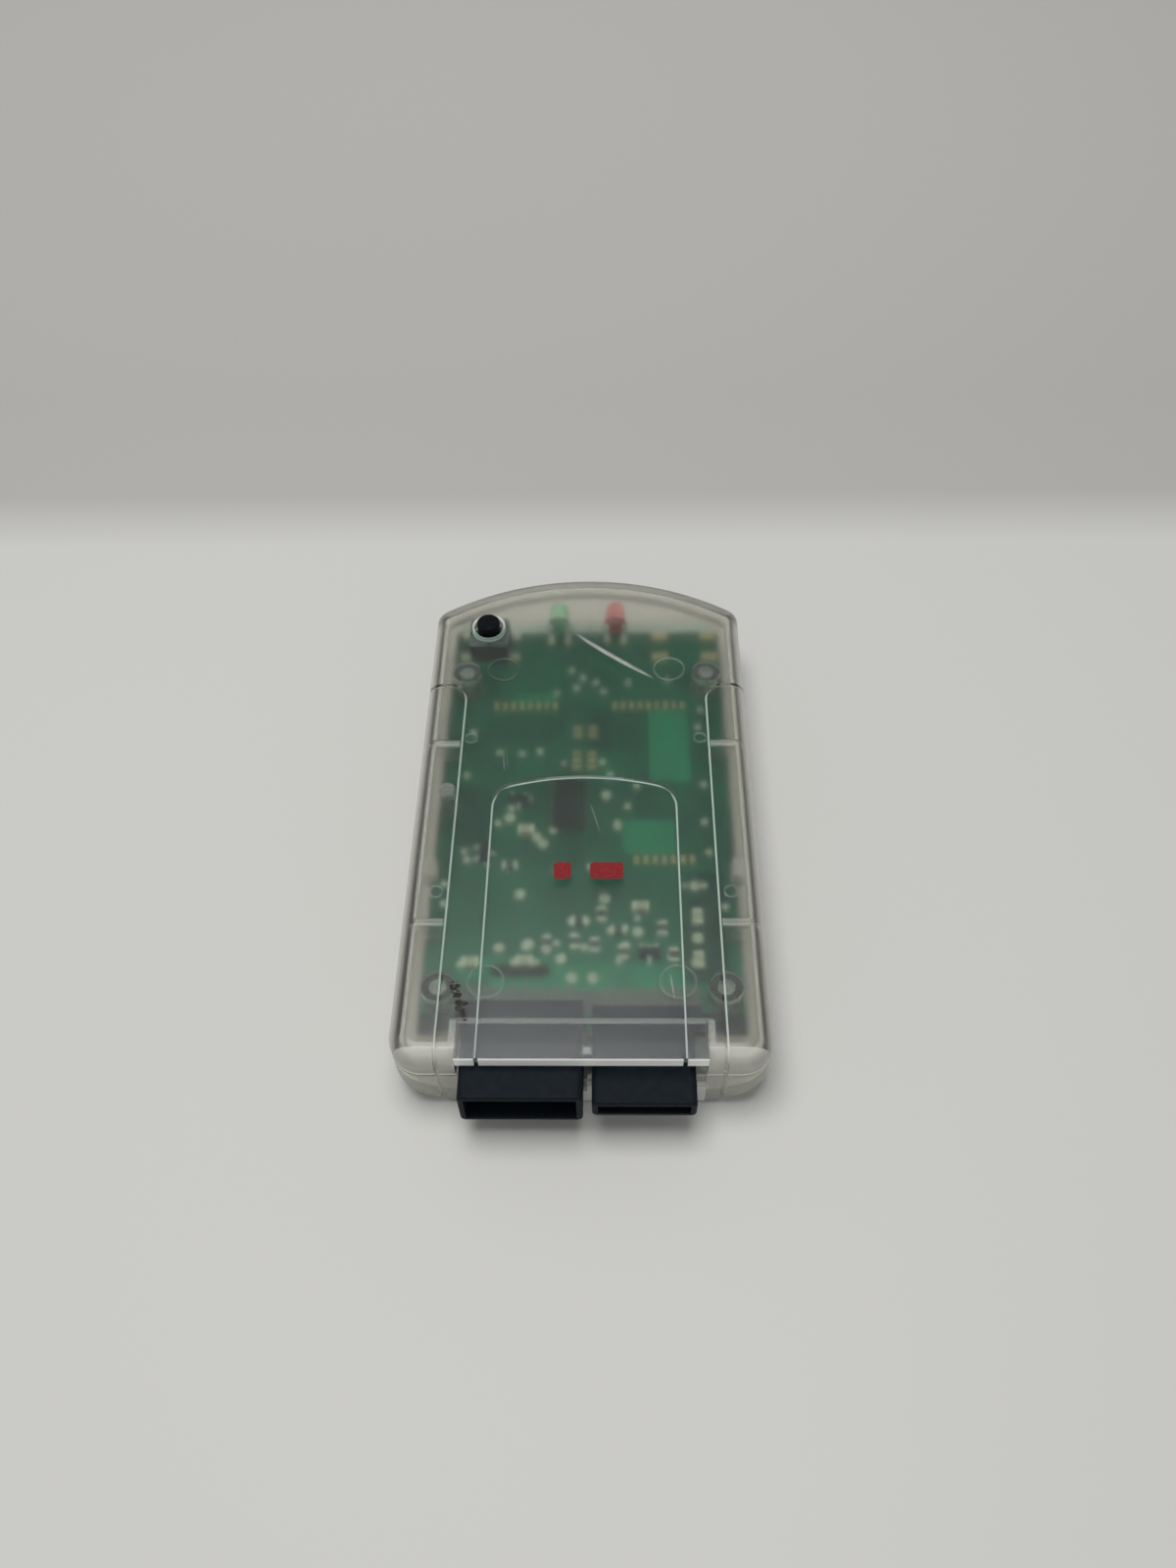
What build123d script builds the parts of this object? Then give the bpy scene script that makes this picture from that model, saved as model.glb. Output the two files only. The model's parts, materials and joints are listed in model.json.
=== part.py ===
from build123d import *
import os
from math import sqrt

# A game console's memory card: two frosted clear covers around a green circuit board, with a push
# switch and two lamps at the arched end and two black sockets past the other end.
# It lies on its back: +Z is up out of the front cover, +Y runs to the arched end, X is to the right.
# The origin is the middle of the bounding box, on the plane that the card rests on. Sizes are in mm.

# Case
case_width = 47.0
case_length = 83.6
parting_height = 8.2
wall = 1.65
arch_rise = 7.7
near_corner_radius = 4.0
far_corner_radius = 2.5
top_edge_radius = 2.3
belly_width = 17.0
shoulder_drop = 3.0
far_bottom_radius = 3.0
near_bottom_radius = 1.0
seam_width = 0.35
seam_depth = 0.3
least_round = 0.2
least_corner = 0.6

# Panel lines cut into the covers
groove_width = 0.55
groove_depth = 0.45
centre_panel_width = 25.0
centre_panel_length = 42.6
centre_panel_rise = 2.1
centre_panel_radius = 2.6
side_line_spacing = 35.0
side_panel_length = 60.0
side_panel_radius = 2.7

# Circuit board
board_side_gap = 1.05
board_drop = 1.2
board_thickness = 1.2
board_far_setback = 0.4
board_near_setback = 5.4
board_corner_radius = 0.8
board_room_gap = 0.25

# Bosses of the front cover, posts and pins of the rear cover
boss_side_inset = 2.8
far_boss_inset = 11.95
near_boss_inset = 5.0
boss_radius = 2.1
pin_radius = 0.95
pin_hole_gap = 0.15
pin_rise = 2.7
boss_roof = 0.5

# Ribs, peg and keys that hold the board
rib_thickness = 0.75
far_rib_inset = 25.6
near_rib_inset = 14.4
rib_reach = 3.8
rib_gap = 0.3
peg_radius = 1.2
peg_side_inset = 1.5
peg_far_inset = 34.3
key_width = 2.8
key_reach = 0.6
key_gap = 0.2
key_far_inset = 45.6

# Round marks that the mould's ejector pins left in the front cover's ceiling
mark_depth = 0.2
mark_ring = 0.3
large_mark_radius = 2.4
small_mark_radius = 1.0

# Sockets
plug_reach = 4.0
left_socket_width = 14.95
left_socket_height = 6.4
right_socket_width = 12.65
right_socket_height = 3.55
socket_wall = 0.75
socket_gap = 1.1
socket_shift = -0.4
socket_drop = 1.0
mouth_depth = 6.0
socket_edge_radius = 0.7
socket_clearance = 0.45
opening_left_gap = 0.35
opening_right_gap = 1.35
base_length = 3.4
base_top_drop = 0.3
base_overhang = 0.95
base_front_gap = 0.4
ear_height = 1.4
ear_gap = 0.4
ear_inset = 0.5
frame_rib_gap = 0.15
frame_rib_thickness = 0.6
frame_post_thickness = 0.9
frame_post_gap = 0.3

# Contacts of the sockets
contact_width = 0.6
contact_thickness = 0.25
contact_slot_gap = 0.05
contact_setback = 2.5
contact_count = 7
contact_margin = 1.1
contact_foot = 1.0
contact_tail = 3.2
contact_bend_gap = 0.1

# Push switch
switch_side_inset = 5.6
switch_far_inset = 3.1
switch_size = 6.0
switch_head_gap = 0.45
switch_plate_thickness = 0.3
switch_corner_radius = 0.5
switch_rim = 0.5
well_floor = 0.8
plunger_radius = 1.75
plunger_flange_gap = 0.2
plunger_gap = 0.12
plunger_lift_gap = 0.05
plunger_proud = 0.9
plunger_travel = 0.25
plunger_edge_radius = 0.25
dome_rim_gap = 0.3
dome_rise = 0.5
dome_thickness = 0.12
dome_gap = 0.1
button_hole_gap = 0.5
button_hole_chamfer = 0.3
terminal_width = 0.7
terminal_thickness = 0.2
terminal_reach = 1.6
terminal_pitch = 4.5

# Lamps
lamp_spacing = 8.85
lamp_radius = 1.5
lamp_length = 4.5
lamp_flange_rim = 0.25
lamp_flange_length = 0.9
lamp_lift = 0.1
lamp_edge_gap = 0.15
lamp_room_gap = 0.3
lamp_lead_pitch = 2.54
lamp_lead_thickness = 0.5
lamp_lead_shoulder = 0.7
lamp_lead_foot = 1.6

# Pads and solder
pad_thickness = 0.05
pad_length = 1.5
pad_width = 1.1
leg_pad_width = 1.6
twin_pad_length = 2.5
small_pad_length = 1.3
small_pad_width = 0.6
small_pad_pitch = 1.27
solder_radius = 0.75
solder_height = 0.4

# Chips
chip_edge = 0.12
lead_thickness = 0.15
lead_shoulder = 0.35
lead_foot = 0.55
chip_standoff = 0.1
memory_width = 8.0
memory_length = 18.4
memory_height = 1.0
memory_spacing = 17.0
memory_forward = 8.5
memory_lead_count = 16
memory_lead_width = 0.2
memory_lead_margin = 0.4
controller_size = 10.0
controller_height = 1.4
controller_forward = -14.0
controller_lead_count = 11
controller_lead_width = 0.33
controller_lead_margin = 1.0
latch_width = 3.9
latch_length = 8.65
latch_height = 1.4
latch_shift = -2.45
latch_forward = 0.75
latch_lead_count = 7
latch_lead_width = 0.42
latch_lead_margin = 0.5

# Other parts on the board
crystal_length = 11.0
crystal_width = 4.6
crystal_height = 2.6
crystal_shift = 6.5
crystal_forward = -23.5
crystal_base_height = 0.6
crystal_base_rim = 0.3
tank_length = 6.0
tank_width = 3.2
tank_height = 2.4
tank_shift = -9.5
tank_forward = -23.5
tank_terminal_thickness = 0.15
tank_terminal_length = 1.3
tank_terminal_width = 2.1
regulator_length = 4.5
regulator_width = 2.5
regulator_height = 1.5
regulator_shift = 0.0
regulator_forward = 23.0
regulator_lead_count = 3
regulator_lead_margin = 0.75
regulator_lead_width = 0.45
regulator_tab_width = 2.2
transistor_length = 2.9
transistor_width = 1.3
transistor_height = 0.95
transistor_lead_margin = 0.5
transistor_lead_width = 0.4
resistor_length = 2.0
resistor_width = 1.25
resistor_height = 0.5
capacitor_length = 2.2
capacitor_width = 1.3
capacitor_height = 0.85
end_cap_length = 0.45

# Places worked out from the sizes above
half_width = case_width / 2
socket_mid = parting_height - socket_drop
left_socket_top = socket_mid + left_socket_height / 2
ceiling = left_socket_top + socket_clearance
case_height = ceiling + wall
mouth_y = -(case_length + plug_reach) / 2
end_y = mouth_y + plug_reach
apex_y = end_y + case_length
corner_y = apex_y - arch_rise
arch_radius = (half_width**2 + arch_rise**2) / (2 * arch_rise)
arch_centre_y = apex_y - arch_radius
board_half = half_width - wall - board_side_gap
board_far = corner_y - board_far_setback
board_near = end_y + board_near_setback
board_mid = (board_near + board_far) / 2
board_top = parting_height - board_drop
board_bottom = board_top - board_thickness
pad_top = board_top + pad_thickness
boss_x = board_half - boss_side_inset
far_boss_y = board_far - far_boss_inset
near_boss_y = board_near + near_boss_inset
boss_places = [(-boss_x, far_boss_y), (boss_x, far_boss_y), (-boss_x, near_boss_y), (boss_x, near_boss_y)]
pin_hole_radius = pin_radius + pin_hole_gap
key_y = board_far - key_far_inset
key_x = board_half - key_reach
left_x0 = socket_shift - (left_socket_width + socket_gap + right_socket_width) / 2
left_x1 = left_x0 + left_socket_width
right_x0 = left_x1 + socket_gap
right_x1 = right_x0 + right_socket_width
opening_x0 = left_x0 - opening_left_gap
opening_x1 = right_x1 + opening_right_gap
base_front = board_near - base_front_gap
base_back = board_near + base_length
ear_back = near_boss_y - boss_radius - ear_gap
ear_top = board_top + ear_height
switch_x = -(board_half - switch_side_inset)
switch_y = board_far - switch_far_inset
switch_top = ceiling - switch_head_gap - switch_plate_thickness
well_radius = switch_size / 2 - switch_rim
lamp_z = board_top + lamp_lift + lamp_radius
lamp_base_y = board_far + lamp_edge_gap
lamp_flange_radius = lamp_radius + lamp_flange_rim
lamp_places = (-lamp_spacing / 2, lamp_spacing / 2)

# Small parts stand at hand-chosen spots: right of the centre line and forward of the board's near edge.
# Those across lie along X, those along lie along Y.
resistors_across = [
    (-0.6, 16.6),
    (4.6, 15.2),
    (-10.2, 25.4),
]
resistors_along = [
    (2.4, 17.6),
    (-4.8, 13.2),
    (-1.1, 13.4),
    (1.5, 12.9),
    (5.2, 11.8),
    (10.4, 15.4),
    (11.8, 11.4),
]
capacitors_across = [
    (-7.6, 10.4),
    (-14.6, 10.2),
    (-8.2, 31.2),
    (7.6, 18.6),
]
capacitors_along = [
    (15.1, 17.0),
    (15.0, 10.6),
]
transistors_across = [
    (-9.4, 36.4),
    (8.6, 11.6),
]
transistors_along = [
    (-13.8, 27.4),
]
solder_spots = [
    (-8.6, 20.9),
    (-2.9, 11.0),
    (-1.4, 8.2),
    (1.3, 8.2),
    (-11.0, 12.6),
    (-7.2, 13.2),
    (7.2, 15.0),
    (15.0, 22.2),
    (-5.8, 29.2),
    (-10.6, 33.6),
    (3.0, 37.6),
    (2.8, 20.2),
]
# Ejector marks: out from the centre line on both sides, and forward of the case's near end
large_marks = [
    (12.45, 63.9),
    (12.0, 10.9),
]
small_marks = [
    (16.5, 50.4),
    (19.35, 24.2),
]
# Rows of bare pads: first and last pad right of the centre line, and the distance from the far or near edge
far_pad_rows = [
    (-13.6, -4.7, 15.5),
    (4.3, 14.5, 15.5),
]
near_pad_rows = [
    (7.2, 14.8, 26.5),
]
# Columns of bare pads: right of the centre line, and the first and last pad from the far edge
pad_columns = [
    (-1.2, 20.0, 21.3),
    (1.0, 20.0, 21.3),
    (-1.3, 24.8, 27.4),
    (0.9, 24.8, 27.4),
]


def block(x0, x1, y0, y1, z0, z1):
    """Box between two corners."""
    return Pos((x0 + x1) / 2, (y0 + y1) / 2, (z0 + z1) / 2) * Box(x1 - x0, y1 - y0, z1 - z0)


def rod(x, y, z0, z1, radius):
    """Upright cylinder."""
    return Pos(x, y, (z0 + z1) / 2) * Cylinder(radius, z1 - z0)


def ribbon(points, x, width):
    """Sheet strip whose edge is drawn in YZ, with its middle at x."""
    outline = make_face(Polyline(*points, close=True))
    return extrude(Plane.YZ.offset(x) * outline, amount=width / 2, both=True)


def row(count, span):
    """Evenly spaced places across a span, centred on zero."""
    return [span * (index / (count - 1) - 0.5) for index in range(count)] if count > 1 else [0]


def arched_outline(half, near, shoulder, top, far_radius, near_radius):
    """Upright strip with an arched far end and rounded corners."""
    sides = Polyline((-half, shoulder), (-half, near), (half, near), (half, shoulder))
    arch = ThreePointArc((half, shoulder), (0, top), (-half, shoulder))
    face = make_face(sides + arch)
    face = fillet(face.vertices().group_by(Axis.Y)[-1], far_radius)
    return fillet(face.vertices().group_by(Axis.Y)[0], near_radius)


def plan(inset):
    """Case outline seen from the front, moved inwards."""
    half = half_width - inset
    radius = arch_radius - inset
    shoulder = arch_centre_y + sqrt(radius**2 - half**2)
    far_radius = max(far_corner_radius - inset, least_corner)
    near_radius = max(near_corner_radius - inset, least_corner)
    return arched_outline(half, end_y + inset, shoulder, arch_centre_y + radius, far_radius, near_radius)


def front_form(inset):
    """Front cover as a solid, moved inwards."""
    height = case_height - inset - parting_height
    form = extrude(Pos(0, 0, parting_height) * plan(inset), amount=height)
    top_edges = form.faces().sort_by(Axis.Z)[-1].edges()
    return fillet(top_edges, max(top_edge_radius - inset, least_round))


def belly_form(inset):
    """Cross-section of the rear cover run along Y: a flat belly that rounds up to the sides."""
    rise = parting_height - shoulder_drop
    run = half_width - belly_width / 2
    centre_z = (run**2 + rise**2) / (2 * rise)
    radius = centre_z - inset
    half = belly_width / 2
    belly = Line((-half, inset), (half, inset))
    right = CenterArc((half, centre_z), radius, 270, 90)
    top = Line((half + radius, centre_z), (-half - radius, centre_z))
    left = CenterArc((-half, centre_z), radius, 180, 90)
    return extrude(Plane.XZ * make_face(belly + right + top + left), amount=case_length, both=True)


def edge_section(reach, low, radius):
    """What the rounding of a bottom edge takes away, drawn as distance outwards and height."""
    corner = CenterArc((reach - radius, low + radius), radius, 270, 90)
    outside = Polyline(
        (reach, low + radius),
        (reach + wall, low + radius),
        (reach + wall, low - wall),
        (reach - radius, low - wall),
        (reach - radius, low),
    )
    return make_face(corner + outside)


def end_cuts(inset):
    """Rounding of the rear cover's bottom edge: turned at the arched end, straight at the near end."""
    far_section = edge_section(arch_radius - inset, inset, max(far_bottom_radius - inset, least_round))
    far_cut = revolve(Plane.XZ * far_section, Axis.Z, 180)
    near_section = edge_section(-end_y - inset, inset, max(near_bottom_radius - inset, least_round))
    towards_near = Plane((0, 0, 0), (0, -1, 0), (-1, 0, 0))
    near_cut = extrude(towards_near * near_section, amount=case_width, both=True)
    return [Pos(0, arch_centre_y, 0) * far_cut, near_cut]


def rear_form(inset):
    """Rear cover as a solid, moved inwards."""
    form = extrude(Pos(0, 0, inset) * plan(inset), amount=parting_height - inset)
    return (form & belly_form(inset)) - end_cuts(inset)


def centre_panel(grow):
    """Arched panel of the front face, which runs out over the near end."""
    half = centre_panel_width / 2 + grow
    shoulder = end_y + centre_panel_length - centre_panel_rise + grow
    top = end_y + centre_panel_length + grow
    return arched_outline(half, end_y - case_height, shoulder, top, centre_panel_radius + grow, least_round)


def side_panel(side, grow):
    """Panel that wraps one long side of the case."""
    inner = side_line_spacing / 2 - grow
    outer = half_width + case_height
    near = end_y - case_height
    far = end_y + side_panel_length + grow
    edge = Polyline((inner, near), (outer, near), (outer, far), (inner, far), close=True)
    face = make_face(edge)
    corner = [v for v in face.vertices() if v.X < half_width and v.Y > end_y]
    face = fillet(corner, side_panel_radius + grow)
    return face if side > 0 else mirror(face, about=Plane.YZ)


def panel_line(outer_face, inner_face):
    """Upright wall between two outlines, taller than the case."""
    return extrude(Pos(0, 0, -case_height) * (outer_face - inner_face), amount=3 * case_height)


def centre_line():
    return panel_line(centre_panel(groove_width / 2), centre_panel(-groove_width / 2))


def side_lines():
    half = groove_width / 2
    return [panel_line(side_panel(side, half), side_panel(side, -half)) for side in (-1, 1)]


def socket_room():
    """Space that the covers leave free around the two sockets."""
    gap = socket_clearance
    rooms = []
    for x0, x1, height in (
        (left_x0, left_x1, left_socket_height),
        (right_x0, right_x1, right_socket_height),
    ):
        low = socket_mid - height / 2 - gap
        high = socket_mid + height / 2 + gap
        rooms.append(block(x0 - gap, x1 + gap, mouth_y, base_back + gap, low, high))
    return rooms


def lip_block(front, top):
    """Flat run of the front wall over the sockets, with a square-cut edge."""
    back = end_y + wall + top_edge_radius
    return block(opening_x0, opening_x1, front, back, ceiling, top)


def board_ribs():
    """Ribs of the front cover that reach in from the long sides and press on the board."""
    inner = half_width - wall - rib_reach
    ribs = []
    for y in (board_far - far_rib_inset, board_near + near_rib_inset):
        for side in (-1, 1):
            for outer, z0, z1 in (
                (half_width - wall - rib_gap, board_top, case_height - wall / 2),
                (half_width - wall / 2, parting_height, case_height - wall / 2),
            ):
                x0, x1 = sorted((side * inner, side * outer))
                ribs.append(block(x0, x1, y - rib_thickness / 2, y + rib_thickness / 2, z0, z1))
    return ribs


def socket_frame():
    """Shallow cross rib and two side posts of the front cover around the sockets' bases."""
    root = case_height - wall / 2
    back = board_near + frame_rib_thickness
    frame = [block(opening_x0, opening_x1, board_near, back, left_socket_top + frame_rib_gap, root)]
    for x0 in (opening_x0 - frame_post_thickness, opening_x1):
        x1 = x0 + frame_post_thickness
        frame.append(block(x0, x1, end_y + wall / 2, back, ear_top + frame_post_gap, root))
    return frame


def lamp_rooms():
    """Space that the front cover leaves free above the lamps."""
    room = Cylinder(lamp_flange_radius + lamp_room_gap, lamp_length + 2 * lamp_room_gap)
    middle = lamp_base_y + lamp_length / 2
    return [Pos(x, middle, lamp_z) * Rot(-90, 0, 0) * room for x in lamp_places]


def ejector_marks():
    """Shallow rings in the ceiling, the same on both sides of the centre line."""
    marks = [(*place, large_mark_radius) for place in large_marks]
    marks += [(*place, small_mark_radius) for place in small_marks]
    low, high = ceiling - mark_depth, ceiling + mark_depth
    rings = []
    for x, forward, radius in marks:
        y = end_y + forward
        ring = rod(0, y, low, high, radius) - rod(0, y, low, high, radius - mark_ring)
        rings += [Pos(side * x, 0, 0) * ring for side in (-1, 1)]
    return rings


def button_hole():
    radius = plunger_radius + button_hole_gap
    bore = rod(switch_x, switch_y, ceiling - wall, case_height + wall, radius)
    rim = Cone(radius, radius + button_hole_chamfer, button_hole_chamfer)
    return [bore, Pos(switch_x, switch_y, case_height - button_hole_chamfer / 2) * rim]


def front_cover():
    core = front_form(groove_depth) + lip_block(end_y + groove_depth, case_height - groove_depth)
    lines = [line - core for line in [centre_line()] + side_lines()]
    mouth = block(opening_x0, opening_x1, end_y - wall, end_y + 2 * wall, parting_height - wall, ceiling)
    cover = front_form(0) + lip_block(end_y, case_height)
    cover = cover - [front_form(wall), mouth] - lines - socket_room() - ejector_marks()
    root = case_height - wall / 2
    bosses = [rod(x, y, board_top, root, boss_radius) for x, y in boss_places]
    peg = rod(peg_side_inset - board_half, board_far - peg_far_inset, board_top, root, peg_radius)
    cover = cover + bosses + board_ribs() + socket_frame() + [peg]
    pin_holes = [rod(x, y, board_top, ceiling - boss_roof, pin_hole_radius) for x, y in boss_places]
    return cover - pin_holes - button_hole() - lamp_rooms()


def rear_cover():
    outside = rear_form(0)
    core = rear_form(groove_depth)
    lines = [line - core for line in side_lines()]
    seam = extrude(Pos(0, 0, parting_height - seam_width) * (plan(0) - plan(seam_depth)), amount=seam_width)
    room_half = board_half + board_room_gap
    room_near = board_near - board_room_gap
    room_far = board_far + board_room_gap
    room_low = board_bottom - board_room_gap
    board_room = block(-room_half, room_half, room_near, room_far, room_low, parting_height + wall)
    cover = outside - [rear_form(wall), seam, board_room] - lines
    posts = [rod(x, y, 0, board_bottom, boss_radius) & outside for x, y in boss_places]
    pins = [rod(x, y, board_bottom - wall, board_top + pin_rise, pin_radius) for x, y in boss_places]
    keys = []
    for side in (-1, 1):
        x0, x1 = sorted((side * key_x, side * (half_width - wall / 2)))
        y0 = key_y - key_width / 2
        keys.append(block(x0, x1, y0, y0 + key_width, wall, parting_height) & outside)
    cover = cover + posts + pins + keys
    divide = left_x1 + socket_clearance
    mouths = []
    for x0, x1, height in (
        (opening_x0, divide, left_socket_height),
        (divide, opening_x1, right_socket_height),
    ):
        low = socket_mid - height / 2 - socket_clearance
        mouths.append(block(x0, x1, end_y - wall, end_y + 2 * wall, low, parting_height + wall))
    return cover - mouths - socket_room()


def circuit_board():
    size = Rectangle(2 * board_half, board_far - board_near)
    face = Pos(0, board_mid) * fillet(size.vertices(), board_corner_radius)
    for side in (-1, 1):
        notch = Rectangle(2 * board_half, key_width + 2 * key_gap)
        face -= Pos(side * (key_x - key_gap + board_half), key_y) * notch
    for x, y in boss_places:
        face -= Pos(x, y) * Circle(pin_hole_radius)
    return extrude(Pos(0, 0, board_bottom) * face, amount=board_thickness)


def socket_body(x0, x1, height, outer_side):
    """Hollow sleeve past the case's end, and the base that stands on the board behind it."""
    low = socket_mid - height / 2
    high = socket_mid + height / 2
    sleeve = block(x0, x1, mouth_y, base_front, low, high)
    sleeve = fillet(sleeve.edges().filter_by(Axis.Y), socket_edge_radius)
    body = fillet(sleeve.faces().sort_by(Axis.Y)[0].edges(), socket_edge_radius / 2)
    base_x0 = x0 - base_overhang if outer_side < 0 else x0
    base_x1 = x1 + base_overhang if outer_side > 0 else x1
    body += block(x0, x1, base_front - wall, base_back, board_top, high - base_top_drop)
    body += block(base_x0, base_x1, board_near + wall, base_back, board_top, high - base_top_drop)
    ear_x0 = -board_half + ear_inset if outer_side < 0 else x1 - wall
    ear_x1 = x0 + wall if outer_side < 0 else board_half - ear_inset
    body += block(ear_x0, ear_x1, board_near, ear_back, board_top, ear_top)
    mouth_x0 = x0 + socket_wall
    mouth_x1 = x1 - socket_wall
    mouth_back = mouth_y + mouth_depth
    mouth = block(mouth_x0, mouth_x1, mouth_y - wall, mouth_back, low + socket_wall, high - socket_wall)
    boss_rooms = [rod(x, y, board_top, ceiling, boss_radius + ear_gap) for x, y in boss_places]
    return body - [mouth] - boss_rooms


def contact_places(x0, x1):
    span = x1 - x0 - 2 * (socket_wall + contact_margin)
    return [(x0 + x1) / 2 + step for step in row(contact_count, span)]


def upper_slots(x0, x1, height):
    """Slots for the contacts that lie along a mouth's ceiling."""
    low = socket_mid + height / 2 - socket_wall - contact_slot_gap
    high = low + contact_thickness + 2 * contact_slot_gap
    half = contact_width / 2 + contact_slot_gap
    front = mouth_y + contact_setback - contact_slot_gap
    places = contact_places(x0, x1)
    return [block(x - half, x + half, front, base_back + wall, low, high) for x in places]


def upper_contacts(x0, x1, height):
    """Strips from a mouth's ceiling, through the base and down its back to the board."""
    low = socket_mid + height / 2 - socket_wall
    front = mouth_y + contact_setback
    bend = base_back + contact_bend_gap
    foot = bend + contact_thickness + contact_tail
    edge = [
        (front, low),
        (bend, low),
        (bend, board_top),
        (foot, board_top),
        (foot, board_top + contact_thickness),
        (bend + contact_thickness, board_top + contact_thickness),
        (bend + contact_thickness, low + contact_thickness),
        (front, low + contact_thickness),
    ]
    return [ribbon(edge, x, contact_width) for x in contact_places(x0, x1)]


def lower_slots():
    """Slots for the contacts that lie along the left mouth's floor."""
    high = socket_mid - left_socket_height / 2 + socket_wall + contact_slot_gap
    low = high - contact_thickness - 2 * contact_slot_gap
    half = contact_width / 2 + contact_slot_gap
    front = mouth_y + contact_setback - contact_slot_gap
    places = contact_places(left_x0, left_x1)
    return [block(x - half, x + half, front, board_near, low, high) for x in places]


def lower_contacts():
    """Strips from the left mouth's floor, back under the board and up to it."""
    high = socket_mid - left_socket_height / 2 + socket_wall
    front = mouth_y + contact_setback
    bend = board_near + contact_foot
    foot = bend + contact_thickness + contact_foot
    edge = [
        (front, high),
        (bend, high),
        (bend, board_bottom),
        (foot, board_bottom),
        (foot, board_bottom - contact_thickness),
        (bend + contact_thickness, board_bottom - contact_thickness),
        (bend + contact_thickness, high - contact_thickness),
        (front, high - contact_thickness),
    ]
    return [ribbon(edge, x, contact_width) for x in contact_places(left_x0, left_x1)]


def left_socket():
    body = socket_body(left_x0, left_x1, left_socket_height, -1)
    return body - upper_slots(left_x0, left_x1, left_socket_height) - lower_slots()


def right_socket():
    body = socket_body(right_x0, right_x1, right_socket_height, 1)
    return body - upper_slots(right_x0, right_x1, right_socket_height)


def left_contacts():
    return Compound(upper_contacts(left_x0, left_x1, left_socket_height) + lower_contacts())


def right_contacts():
    return Compound(upper_contacts(right_x0, right_x1, right_socket_height))


def switch_square(height, z0):
    """Rounded square slab at the switch's place."""
    face = fillet(Rectangle(switch_size, switch_size).vertices(), switch_corner_radius)
    return extrude(Pos(switch_x, switch_y, z0) * face, amount=height)


def switch_base():
    body = switch_square(switch_top - board_top, board_top)
    return body - rod(switch_x, switch_y, board_top + well_floor, switch_top + wall, well_radius)


def switch_top_plate():
    plate = switch_square(switch_plate_thickness, switch_top)
    return plate - rod(switch_x, switch_y, board_top, case_height, plunger_radius + plunger_gap)


def switch_plunger():
    """Stem that stands out of the case, with a flange held under the top plate."""
    foot = board_top + well_floor + dome_rise + plunger_travel + dome_gap
    top = case_height + plunger_proud
    stem = rod(switch_x, switch_y, foot, top, plunger_radius)
    stem = fillet(stem.faces().sort_by(Axis.Z)[-1].edges(), plunger_edge_radius)
    flange_radius = well_radius - plunger_flange_gap
    return stem + rod(switch_x, switch_y, foot, switch_top - plunger_lift_gap, flange_radius)


def dome_cap(radius, rise):
    """Cap of a sphere that stands on the plane z = 0."""
    sphere_radius = (radius**2 + rise**2) / (2 * rise)
    ball = Pos(0, 0, rise - sphere_radius) * Sphere(sphere_radius)
    return ball & block(-radius, radius, -radius, radius, 0, rise)


def switch_dome():
    cap = dome_cap(well_radius - dome_rim_gap, dome_rise)
    shell = cap - Pos(0, 0, -dome_thickness) * cap
    return Pos(switch_x, switch_y, board_top + well_floor) * shell


def switch_legs():
    """Centres of the switch's four feet."""
    reach = switch_size / 2 + terminal_reach / 2
    half = terminal_pitch / 2
    return [(switch_x + side * reach, switch_y + end * half) for side in (-1, 1) for end in (-1, 1)]


def switch_terminals():
    feet = []
    for x, y in switch_legs():
        half = terminal_width / 2
        reach = terminal_reach / 2
        feet.append(block(x - reach, x + reach, y - half, y + half, pad_top, pad_top + terminal_thickness))
    return Compound(feet)


def lamp_lens(x):
    """Round cast lens that points at the arched end."""
    shaft = lamp_length - lamp_radius
    body = Cylinder(lamp_radius, shaft, align=(Align.CENTER, Align.CENTER, Align.MIN))
    body += Pos(0, 0, shaft) * Sphere(lamp_radius)
    body += Cylinder(lamp_flange_radius, lamp_flange_length, align=(Align.CENTER, Align.CENTER, Align.MIN))
    return Pos(x, lamp_base_y, lamp_z) * Rot(-90, 0, 0) * body


def lamp_leads(x):
    """Two wires from the lens's base down to the board."""
    half = lamp_lead_thickness / 2
    knee = lamp_base_y - lamp_lead_shoulder
    tip = knee - lamp_lead_thickness - lamp_lead_foot
    edge = [
        (lamp_base_y, lamp_z + half),
        (knee - lamp_lead_thickness, lamp_z + half),
        (knee - lamp_lead_thickness, pad_top + lamp_lead_thickness),
        (tip, pad_top + lamp_lead_thickness),
        (tip, pad_top),
        (knee, pad_top),
        (knee, lamp_z - half),
        (lamp_base_y, lamp_z - half),
    ]
    return Compound([ribbon(edge, x + step, lamp_lead_thickness) for step in row(2, lamp_lead_pitch)])


def pad(x, y, length_x, length_y):
    return block(x - length_x / 2, x + length_x / 2, y - length_y / 2, y + length_y / 2, board_top, pad_top)


def pitched(first, last):
    """Places of small pads from the first to about the last."""
    steps = round((last - first) / small_pad_pitch)
    return [first + step * small_pad_pitch for step in range(steps + 1)]


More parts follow.
